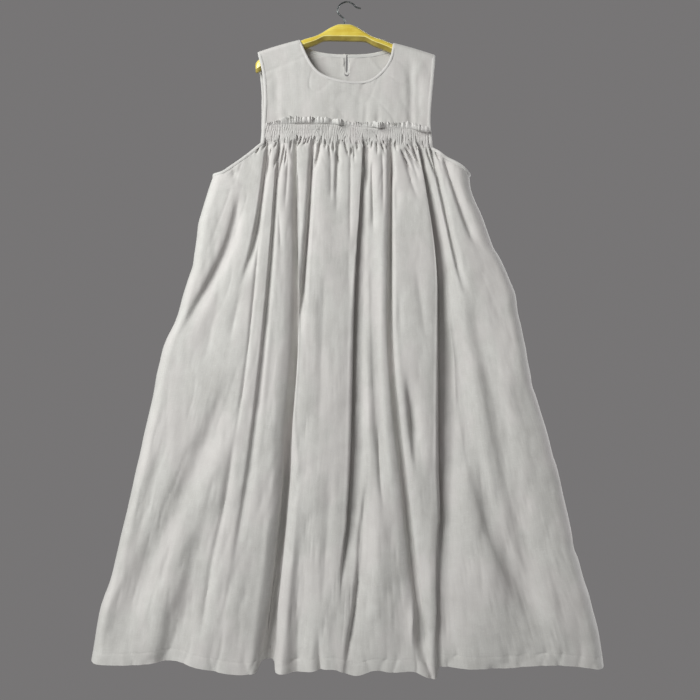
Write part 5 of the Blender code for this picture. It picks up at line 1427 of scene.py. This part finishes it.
def band_grid(side):
    """Outside of the band, from the yoke's lower edge to the skirt, between its free edges."""
    columns = SHIRRING_GATHERS * SHIRRING_COLUMNS_EACH + 1
    share = np.linspace(0, 1, columns)
    down = np.linspace(0, 1, SHIRRING_LEVELS)[:, None]
    x = -BAND_HALF + 2 * BAND_HALF * share + 0 * down
    for _ in range(FITTING_ROUNDS):
        top = band_top(x) + SEAM_GAP / 6
        drop = top + (band_bottom(x, side) - SEAM_GAP / 6 - top) * down
        left, right = armhole_x(drop, side)
        x = left + (right - left) * share
    stitch = np.abs(np.sin(math.pi * SHIRRING_STITCH_ROWS * down))
    pull = THREAD_UNEVEN[0] + THREAD_UNEVEN[1] * uneven(x, drop, 0.018, 0.012, 58 + side)
    stitch = 1 - (1 - stitch) * pull
    held = PLEATS_AT_THREAD[0] + PLEATS_AT_THREAD[1] * stitch
    held = held * (PLEATS_AT_TOP[0] + PLEATS_AT_TOP[1] * ease(down / TOP_SHARE))
    held = held + (SHIRRING_LEFT - held) * ease((down - LOW_SHARE[0]) / LOW_SHARE[1])
    slack = SHIRRING_SLACK * uneven(x, drop, 0.020, 0.014, 55 + side)
    slack += SHIRRING_PUFF * (stitch - 0.5)
    slack = slack * ease(down / SLACK_SHARES[0]) * ease((1 - down) / SLACK_SHARES[1])
    taken, lean = hollows(x, drop, drop - band_bottom(x, side), side)
    depth = hollowed(wall_depth(drop, side), taken)
    depth += slack + shirred(x, drop, side) * held
    depth += SHIRRING_PROUD * (1 - ease(down / PROUD_SHARE))
    x = x + lean * ease(share / LEAN_SHARE) * ease((1 - share) / LEAN_SHARE)
    return np.stack([x, side * depth, -drop], axis=-1)


bands = {}
for side in (FRONT, BACK):
    outer = band_grid(side)
    inner = outer - np.array([0, side * LINEN, 0])
    edges[side]["band"] = outer, inner
    bands[side] = add_cloth(f"shirred_{word(side)}_band", outer, inner, BAND_PAINTED_SHADE_FINISH)
    hang(bands[side], "linen", f"{word(side)}_shirring")
    threads = sew(f"{word(side)}_gathering_threads", stitch_lines(outer, side, THREAD_LEVELS))

# ------------------------------------------------------------------ frilled heading
# The raw upper edge of the same cloth, which stands free above the first row of gathering thread
# as a narrow frill. It ruffles, and here and there it rolls forward over its own seam.
FRILL_CLOTH = 0.0008
FRILL_COLUMNS = 760
FRILL_LEVELS = 13
FRILL_RUFFLES = 50
FRILL_SWING = 0.0010       # how far its ruffles swing forward, and aside
FRILL_INSET = 0.0006       # of its ends from the armholes
FRILL_END_DROP = 0.268     # where those ends are measured
FRILL_END_CALM = 0.004
FRILL_SIZES = (0.80, 0.60)    # mean size of its ruffles, and how far it varies
FRILL_WANDER = 1.5         # how far they wander from even places, in ruffles
FRILL_WAVER = 0.10         # and their ridges as they rise
FRILL_CELL = 0.004
FRILL_RAGGED = 0.20        # share by which the raw edge is uneven
FRILL_HEIGHTS = (0.90, 0.14)    # share of the height between two ruffles, and gained on one
FRILL_LIFT = (0.15, 0.85)  # how far the swing has come in at the foot, and gained by the edge
FRILL_PLEATS = 0.45        # share of the band's pleats that show at its foot
FRILL_LOBE_ROUND = 0.6
FRILL_LOBE_SLANT = 0.3     # radians that a ruffle turns through as it rises
FRILL_SIDE_SWING = 1.4     # radians by which the swing aside follows the one forward
FRILL_CURL = 0.28          # radians that a full ruffle bends the edge, either way
FRILL_LEAST_BEND = 0.05
# Height, lean out from the wall at the foot and at the edge, and how strongly it ruffles.
FRILL_SHAPE = ("x", "height", "foot", "edge", "ruffle")
FRILL_ROWS = {
    FRONT: (
        (-0.182, 0.0060, 0.5, -0.3, 0.8), (-0.168, 0.0065, 0.5, -0.3, 1.0),
        (-0.150, 0.0075, 0.6, -0.3, 1.1), (-0.136, 0.0090, 0.6, -0.3, 1.1),
        (-0.124, 0.0125, 0.6, -0.3, 1.2), (-0.114, 0.0150, 0.9, -0.4, 1.0),
        (-0.104, 0.0165, 1.4, -0.5, 0.8), (-0.090, 0.0165, 1.5, -0.5, 0.7),
        (-0.074, 0.0165, 1.4, -0.5, 0.8), (-0.066, 0.0135, 0.7, -0.3, 1.1),
        (-0.056, 0.0145, 1.2, -0.4, 0.7), (-0.038, 0.0140, 1.3, -0.4, 0.7),
        (-0.030, 0.0110, 0.7, -0.2, 1.1), (-0.014, 0.0215, 2.5, -0.7, 0.4),
        (-0.005, 0.0085, 0.9, -0.3, 0.8), (0.010, 0.0070, 0.8, -0.2, 0.6),
        (0.026, 0.0095, 0.6, -0.3, 1.2), (0.044, 0.0105, 0.6, -0.3, 1.2),
        (0.056, 0.0130, 1.4, -0.4, 0.7), (0.066, 0.0225, 2.6, -0.7, 0.4),
        (0.078, 0.0110, 1.0, -0.3, 0.9), (0.090, 0.0110, 0.5, -0.3, 1.2),
        (0.108, 0.0110, 0.6, -0.3, 1.2), (0.122, 0.0135, 0.7, -0.4, 1.3),
        (0.136, 0.0120, 1.0, -0.3, 1.0), (0.146, 0.0190, 2.2, -0.6, 0.6),
        (0.156, 0.0230, 2.6, -0.7, 0.4), (0.172, 0.0230, 2.6, -0.7, 0.4),
        (0.182, 0.0200, 2.4, -0.6, 0.5),
    ),
    BACK: (
        (-0.182, 0.0065, 0.5, -0.3, 0.8), (-0.140, 0.0095, 0.6, -0.3, 1.1),
        (-0.120, 0.0130, 1.3, -0.4, 0.7), (-0.090, 0.0105, 0.6, -0.3, 1.2),
        (-0.050, 0.0090, 0.7, -0.3, 0.9), (-0.030, 0.0150, 2.0, -0.5, 0.8),
        (0.000, 0.0095, 0.6, -0.3, 1.1), (0.040, 0.0110, 0.5, -0.3, 1.2),
        (0.060, 0.0130, 1.2, -0.4, 0.7), (0.090, 0.0095, 0.6, -0.3, 1.1),
        (0.130, 0.0105, 0.6, -0.3, 1.1), (0.150, 0.0140, 1.9, -0.5, 0.8),
        (0.182, 0.0075, 0.6, -0.3, 0.8),
    ),
}
# A paler copy of the same linen: painted light, for the light that the frill's upturned ruffles catch.
HEADING_PAINTED_LIGHT_FINISH = linen("heading_linen_painted_light", (0.545, 0.535, 0.518), (0.690, 0.683, 0.664))


def add_frill(side):
    share = np.linspace(0, 1, FRILL_COLUMNS)
    left, right = armhole_x(FRILL_END_DROP, side)
    left, right = left + FRILL_INSET, right - FRILL_INSET
    x = (left + (right - left) * share)[:, None]
    height, foot, edge, ruffle = (
        read(FRILL_ROWS[side], FRILL_SHAPE, name, x) for name in FRILL_SHAPE[1:]
    )
    size = FRILL_SIZES[0] + FRILL_SIZES[1] * uneven(x, 0 * x, 0.009, 1, 71 + side)
    count = FRILL_RUFFLES * share[:, None] + FRILL_WANDER * uneven(x, 0 * x, 0.015, 1, 65 + side)
    rise = np.linspace(0, 1, FRILL_LEVELS)[::-1]
    waver = FRILL_WAVER * uneven(x, FRILL_CELL * rise, 0.012, FRILL_CELL, 67 + side)
    turning = 2 * math.pi * (count + waver)
    lobe = np.abs(np.sin(turning / 2 + FRILL_LOBE_SLANT * rise)) ** FRILL_LOBE_ROUND
    wave = 2 * lobe - 1
    height = height * (1 + FRILL_RAGGED * ruffle * uneven(x, 0 * x, 0.006, 1, 61 + side))
    height = height * (FRILL_HEIGHTS[0] + FRILL_HEIGHTS[1] * np.abs(np.sin(math.pi * count)))
    edge = edge + FRILL_CURL * ruffle * size * wave
    bend = np.where(np.abs(edge - foot) < FRILL_LEAST_BEND, FRILL_LEAST_BEND, edge - foot)
    angle = foot + bend * rise
    forward = (np.cos(foot) - np.cos(angle)) * height / bend
    up = (np.sin(angle) - np.sin(foot)) * height / bend
    swing = ruffle * size * ease(FRILL_LIFT[0] + FRILL_LIFT[1] * rise)
    forward = forward + FRILL_SWING * swing * (1 + wave)
    calm = ease(np.minimum(x - left, right - x) / FRILL_END_CALM)
    aside = FRILL_SWING * swing * np.sin(turning + FRILL_SIDE_SWING) * calm
    drop = band_top(x) - SEAM_GAP / 6 - up
    base = wall_depth(band_top(x), side) + SHIRRING_PROUD
    base = base + FRILL_PLEATS * shirred(x, band_top(x), side) * (1 - rise)
    outer = np.stack([x + aside, side * (base + forward), -drop], axis=-1).transpose(1, 0, 2)
    inner = outer - wall_normals(outer, side) * FRILL_CLOTH
    return add_cloth(f"{word(side)}_heading", outer, inner, HEADING_PAINTED_LIGHT_FINISH)


for side in (FRONT, BACK):
    heading = hang(add_frill(side), "linen", f"{word(side)}_frill")

# ------------------------------------------------------------------ bindings
# Narrow bias strips of the same linen, folded over the raw edges of the neck, the slit and both
# armholes and stitched down. They take a paler copy of the linen: painted light for the light that their
# rolled edges catch.
BINDING_WIDTH = 0.005
NECK_BINDING_WIDTH = 0.0042
SLIT_BINDING_WIDTH = 0.0032
BINDING_SPACING = 0.0024
BINDING_SOFTENING = 3
BINDING_PUCKER = 0.16     # share by which its thickness varies along it
BINDING_WAVER = 0.0003    # and how far its free edge wanders
BINDING_LAP = 0.0012      # how far its outer leaf lies over the panel
NECK_LAP = 0.0032         # and its inner leaf at the neck
SEAM_PLACE = 0.45         # of its stitching, as a share of the outer leaf's lap
SEAM_PROUD = 0.0008       # of the stitching above the cloth
SLIT_GAP_HALF = 0.0015
NECK_CENTRE = (0, 0, -0.03)    # a point in the neck's opening, which its edge faces
ARMHOLE_RISE = 0.9        # how far up an armhole's edge faces, for each metre out
# A paler copy of the same linen: painted light on the bindings and the loop.
BIAS_PAINTED_LIGHT_FINISH = linen("bias_linen_painted_light", (0.525, 0.520, 0.503), (0.660, 0.656, 0.637))


def binding_section(width, lap, inner_lap):
    """Away from the cloth's edge, and out from its face: a strip folded round the edge."""
    return (
        (-lap, 0.0001), (-lap, 0.0004), (-0.6 * lap, 0.0007), (0.3 * width, 0.0010),
        (0.75 * width, 0.0008), (0.96 * width, 0.0002), (width, -0.0005),
        (0.96 * width, -0.0013), (0.75 * width, -0.0018), (0.3 * width, -0.0019),
        (-0.6 * inner_lap, -0.0017), (-inner_lap, -0.0015), (-inner_lap, -0.0012),
        (0.0001, -0.0011), (0.0001, 0.0002),
    )


def even_out(lines, closed):
    """The lines of one edge with their points spaced evenly and their corners rounded."""
    middle = sum(lines) / len(lines)
    if closed:
        middle = np.concatenate([middle, middle[:1]])
        lines = [np.concatenate([line, line[:1]]) for line in lines]
    far = far_along(middle)
    at = np.linspace(0, far[-1], int(far[-1] / BINDING_SPACING))
    made = [np.stack([np.interp(at, far, line[:, k]) for k in range(3)], axis=1) for line in lines]
    for _ in range(BINDING_SOFTENING):
        for line in made:
            if closed:
                line[0] = line[-1] = (line[1] + 2 * line[0] + line[-2]) / 4
            line[1:-1] = (line[:-2] + 2 * line[1:-1] + line[2:]) / 4
    return [line[:-1] for line in made] if closed else made


def add_binding(name, outer, inner, hint, width, closed, inner_lap=BINDING_LAP):
    """`outer` and `inner` are the points of a cloth's edge, and `hint` points away from it."""
    outer, inner, hint = even_out([outer, inner, np.broadcast_to(hint, outer.shape)], closed)
    along = directions(outer, closed)
    thick = unit(outer - inner)
    thick = unit(thick - along * (thick * along).sum(-1, keepdims=True))
    away = np.cross(along, thick)
    away *= np.where((away * hint).sum(-1, keepdims=True) < 0, -1, 1)
    section = binding_section(width, BINDING_LAP, inner_lap)
    far = np.arange(len(outer)) * BINDING_SPACING
    pucker = 1 + BINDING_PUCKER * uneven(far, 0 * far, 0.006, 1, 111)[:, None]
    waver = BINDING_WAVER * uneven(far, 0 * far, 0.011, 1, 112)[:, None]
    rings = np.stack(
        [outer + away * (a + (waver if a > 0.5 * width else 0)) + thick * b * pucker
         for a, b in section],
        axis=1,
    )
    uv = np.stack(np.meshgrid(far_along(section), far), axis=-1).reshape(-1, 2)
    # Turned an eighth of a turn, for the bias.
    uv = np.stack([uv[:, 0] + uv[:, 1], uv[:, 0] - uv[:, 1]], axis=1) * math.sqrt(0.5)
    strip = add_tube(name, rings, BIAS_PAINTED_LIGHT_FINISH, closed, uv)
    row = outer - away * SEAM_PLACE * BINDING_LAP + thick * SEAM_PROUD * pucker
    return strip, np.concatenate([row, row[:1]]) if closed else row


def shoulder_station(x):
    """Outer and inner point on the shoulder seam itself, between the two panels' edges."""
    drop = shoulder_drop(np.array([x]))
    outer = np.stack([[x], [0], -drop], axis=-1)
    return outer, outer - yoke_normal(np.array([x]), drop, FRONT) * LINEN


def armhole_edge(name):
    """The loop of a panel edge: down the front from the shoulder, and up the back."""
    sign, end = (-1, 0) if name == "left" else (1, -1)
    halves = {}
    for side in (FRONT, BACK):
        shares = edges[side]["skirt"][0]
        from_side = shares if name == "left" else 1 - shares
        corner = BAND_SHARES[0] if name == "left" else 1 - BAND_SHARES[1]
        here = np.where((from_side > 0) & (from_side < corner))[0]
        here = here[::-1] if name == "left" else here
        halves[side] = [
            np.concatenate([
                edges[side]["yoke"][k][1:, end], edges[side]["band"][k][1:-1, end],
                edges[side]["skirt"][k + 1][0, here],
            ])
            for k in (0, 1)
        ]
    top = shoulder_station(float(edges[FRONT]["yoke"][0][0, end, 0]))
    loop = []
    for k in (0, 1):
        underarm = edges[FRONT]["skirt"][k + 1][:1, end] * (1, 0, 1)
        loop.append(np.concatenate([top[k], halves[FRONT][k], underarm, halves[BACK][k][::-1]]))
    return loop, np.array([sign, 0, ARMHOLE_RISE])


def neck_edge():
    """An open line: from the slit round the back neck, the front neck and back to the slit."""
    front_out, front_in, on_shoulder = edges[FRONT]["yoke"]
    back_out, back_in, _ = edges[BACK]["yoke"]
    neck = ~on_shoulder
    x = back_out[0, :, 0]
    right = neck & (x > SLIT_X + SLIT_GAP_HALF)
    left = neck & (x < SLIT_X - SLIT_GAP_HALF)
    line = []
    for front, back, k in ((front_out, back_out, 0), (front_in, back_in, 1)):
        ends = [
            [[np.interp(SLIT_X + s * SLIT_GAP_HALF, x, back[0, :, j]) for j in range(3)]]
            for s in (1, -1)
        ]
        line.append(np.concatenate([
            ends[0], back[0, right], shoulder_station(NECK_HALF)[k],
            front[0, neck][::-1], shoulder_station(-NECK_HALF)[k], back[0, left], ends[1],
        ]))
    return line, (np.array(NECK_CENTRE) - line[0]) * (1, 0, 1)


def slit_edge():
    rim = slit_outline(SLIT_HALF, -float(neck_drop(SLIT_X, BACK)) - SEAM_GAP)
    outer = np.array([(x, float(wall_depth(-z, BACK)), z) for x, z in rim])
    hint = np.array([SLIT_X, 0, SLIT_HALF - SLIT_END_DROP]) - outer
    hint[[0, -1], 2] = 0
    return [outer, outer - np.array([0, LINEN, 0])], hint * (1, 0, 1)


seams = {}
bindings = {}
for name in ("left", "right"):
    (outer, inner), hint = armhole_edge(name)
    bindings[name], seams[name] = add_binding(
        f"armhole_bias_{name}", outer, inner, hint, BINDING_WIDTH, True
    )
    hang(bindings[name], "linen", f"armhole_binding_{name}")
(outer, inner), hint = neck_edge()
bindings["neck"], seams["neck"] = add_binding(
    "neck_bias", outer, inner, hint, NECK_BINDING_WIDTH, False, NECK_LAP
)
hang(bindings["neck"], "linen", "neck_binding")
(outer, inner), hint = slit_edge()
bindings["slit"], seams["slit"] = add_binding(
    "slit_bias", outer, inner, hint, SLIT_BINDING_WIDTH, False
)
hang(bindings["slit"], "linen", "slit_binding")
stitches = {
    name: sew(f"{name}_binding_stitches", [seams[name]]) for name in ("left", "right", "neck", "slit")
}

# ------------------------------------------------------------------ loop and button
# A small shank button of pale shell, turned with a raised rim, is sewn beside the top of the slit,
# and a rouleau loop from the other side goes round its shank.
BUTTON_RADIUS = 0.0042
BUTTON_THICKNESS = 0.0020
BUTTON_SIDES = 40
BUTTON_POLE = 0.0001      # radius of the rings that close it in the middle
SHANK_RADIUS = 0.0012
BUTTON_OFFSET = 0.0058
LOOP_CORD_RADIUS = 0.00065
LOOP_SIDES = 12
LOOP_TURN_POINTS = 15
LOOP_CLEARANCE = 0.0003    # between the cord and what it goes round
DISC_CLEARANCE = 0.0002
LOOP_ROUND = 0.004         # width of the cloth that goes round the cord
LOOP_STEP = 0.001          # its length between two points of the cord
BINDING_PROUD = 0.0012
SHELL = ((0.60, 0.57, 0.50, 1), (0.83, 0.81, 0.76, 1))


def pale_shell():
    finish, shader, place = new_finish("pale_shell", "Object")
    layers = place.grain((260, 900, 420), 3.0)
    body = layers.between(0.35, 0.65).tint(*SHELL)
    feed(shader, {
        "Base Color": body,
        "Roughness": layers.between(0.3, 0.7) * 0.12 + 0.18,
        "Normal": layers.bump(0.1, 0.0001),
        "Coat Weight": 0.4,
        "Coat Roughness": 0.1,
    })
    return finish


def add_button_and_loop():
    z = -float(neck_drop(SLIT_X, BACK)) + BINDING_WIDTH / 2
    wall = float(wall_depth(-z, BACK)) + BINDING_PROUD
    x = SLIT_X - BUTTON_OFFSET
    loop_y = wall + LOOP_CORD_RADIUS
    disc_y = loop_y + LOOP_CORD_RADIUS + DISC_CLEARANCE
    r, t = BUTTON_RADIUS, BUTTON_THICKNESS
    profile = (
        (BUTTON_POLE, wall), (SHANK_RADIUS, wall), (SHANK_RADIUS, disc_y), (0.90 * r, disc_y),
        (r, disc_y + 0.2 * t), (r, disc_y + 0.6 * t), (0.94 * r, disc_y + 0.9 * t),
        (0.86 * r, disc_y + t), (0.76 * r, disc_y + 0.94 * t), (0.66 * r, disc_y + 0.7 * t),
        (0.40 * r, disc_y + 0.62 * t), (BUTTON_POLE, disc_y + 0.6 * t),
    )
    rings = np.array([
        [(x + w * math.cos(a), y, z + w * math.sin(a)) for a in turns(BUTTON_SIDES)]
        for w, y in profile
    ])
    button = hang(add_tube("shell_button", rings, pale_shell()), "button_shell", "back_button")
    bend = SHANK_RADIUS + LOOP_CORD_RADIUS + LOOP_CLEARANCE
    far = SLIT_X + SLIT_GAP_HALF + SLIT_BINDING_WIDTH / 2
    turn = np.linspace(math.pi / 2, 3 * math.pi / 2, LOOP_TURN_POINTS)
    path = [(x + bend * math.cos(a), z + bend * math.sin(a)) for a in turn]
    path += [(far - bend * math.cos(a), z - bend * math.sin(a)) for a in turn]
    path = np.array([(px, loop_y, pz) for px, pz in path])
    rings = round_rings(path, LOOP_CORD_RADIUS, LOOP_SIDES, True)
    round_it, along_it = np.linspace(0, LOOP_ROUND, LOOP_SIDES), np.arange(len(path)) * LOOP_STEP
    uv = np.stack(np.meshgrid(round_it, along_it), axis=-1)
    # The loop takes the bindings' paler linen, whose paleness is painted light.
    loop = add_tube("rouleau_loop", rings, BIAS_PAINTED_LIGHT_FINISH, True, uv.reshape(-1, 2))
    return button, hang(loop, "linen", "button_loop")


button, loop = add_button_and_loop()

# ------------------------------------------------------------------ room
# A pale floor well below the dress, and soft light from four large lamps: the key from the upper
# left, a faint fill from the right, one from behind and one beside the skirt's right edge. The
# surround is pale and even.
CAMERA_PLACE = (0.0073, -1.7, -0.723)
CAMERA_ANGLE = math.radians(46.4)
CAMERA_SENSOR = 36        # millimetres
FLOOR_DROP = 2.65
FLOOR_RADIUS = 2.6
FLOOR_SIDES = 96
FLOOR = ((0.60, 0.61, 0.61, 1), (0.64, 0.65, 0.65, 1))
SURROUND_COLOUR = (0.835, 0.81, 0.815, 1)
SURROUND_STRENGTH = 0.22
# Name, place, what it faces, size, watts and colour.
LAMPS = (
    ("key", (-1.80, -1.75, 0.46), (-0.02, 0.0, -0.76), 1.6, 87, (0.985, 1.0, 0.98)),
    ("fill", (1.8, -1.9, -0.4), (0.0, 0.0, -0.75), 2.0, 0.5, (0.98, 0.99, 1.0)),
    ("back", (1.2, 1.9, 0.6), (0.0, 0.0, -0.7), 1.8, 46, (1.0, 1.0, 1.0)),
    ("side", (2.4, 0.40, -0.70), (0.42, 0.0, -0.85), 1.2, 22, (0.98, 0.99, 1.0)),
)


def pale_floor():
    finish, shader, place = new_finish("pale_floor", "Object")
    mottled = place.grain((3, 3, 3), 4.0)
    body = mottled.between(0.3, 0.7).tint(*FLOOR)
    feed(shader, {"Base Color": body, "Roughness": 0.9})
    return finish


def add_room():
    mesh = bpy.data.meshes.new("floor")
    rim = [
        (FLOOR_RADIUS * math.cos(a), FLOOR_RADIUS * math.sin(a), -FLOOR_DROP)
        for a in turns(FLOOR_SIDES)
    ]
    mesh.from_pydata(rim, [], [list(range(FLOOR_SIDES))])
    mesh.materials.append(pale_floor())
    add_object("floor", mesh)
    world = bpy.data.worlds.new("studio")
    world.use_nodes = True
    surround = world.node_tree.nodes["Background"].inputs
    surround["Color"].default_value = SURROUND_COLOUR
    surround["Strength"].default_value = SURROUND_STRENGTH
    bpy.context.scene.world = world
    for name, place, aim, size, watts, colour in LAMPS:
        lamp = bpy.data.lights.new(name, "AREA")
        lamp.size = size
        lamp.energy = watts
        lamp.color = colour
        light = add_object(name, lamp)
        light.location = place
        light.rotation_euler = (Vector(aim) - Vector(place)).to_track_quat("-Z", "Y").to_euler()
    lens = bpy.data.cameras.new("camera")
    lens.sensor_width = CAMERA_SENSOR
    lens.angle = CAMERA_ANGLE
    camera = add_object("camera", lens)
    camera.location = CAMERA_PLACE
    camera.rotation_euler = (math.pi / 2, 0, 0)
    bpy.context.scene.camera = camera


add_room()
bpy.context.scene.view_settings.view_transform = "Standard"
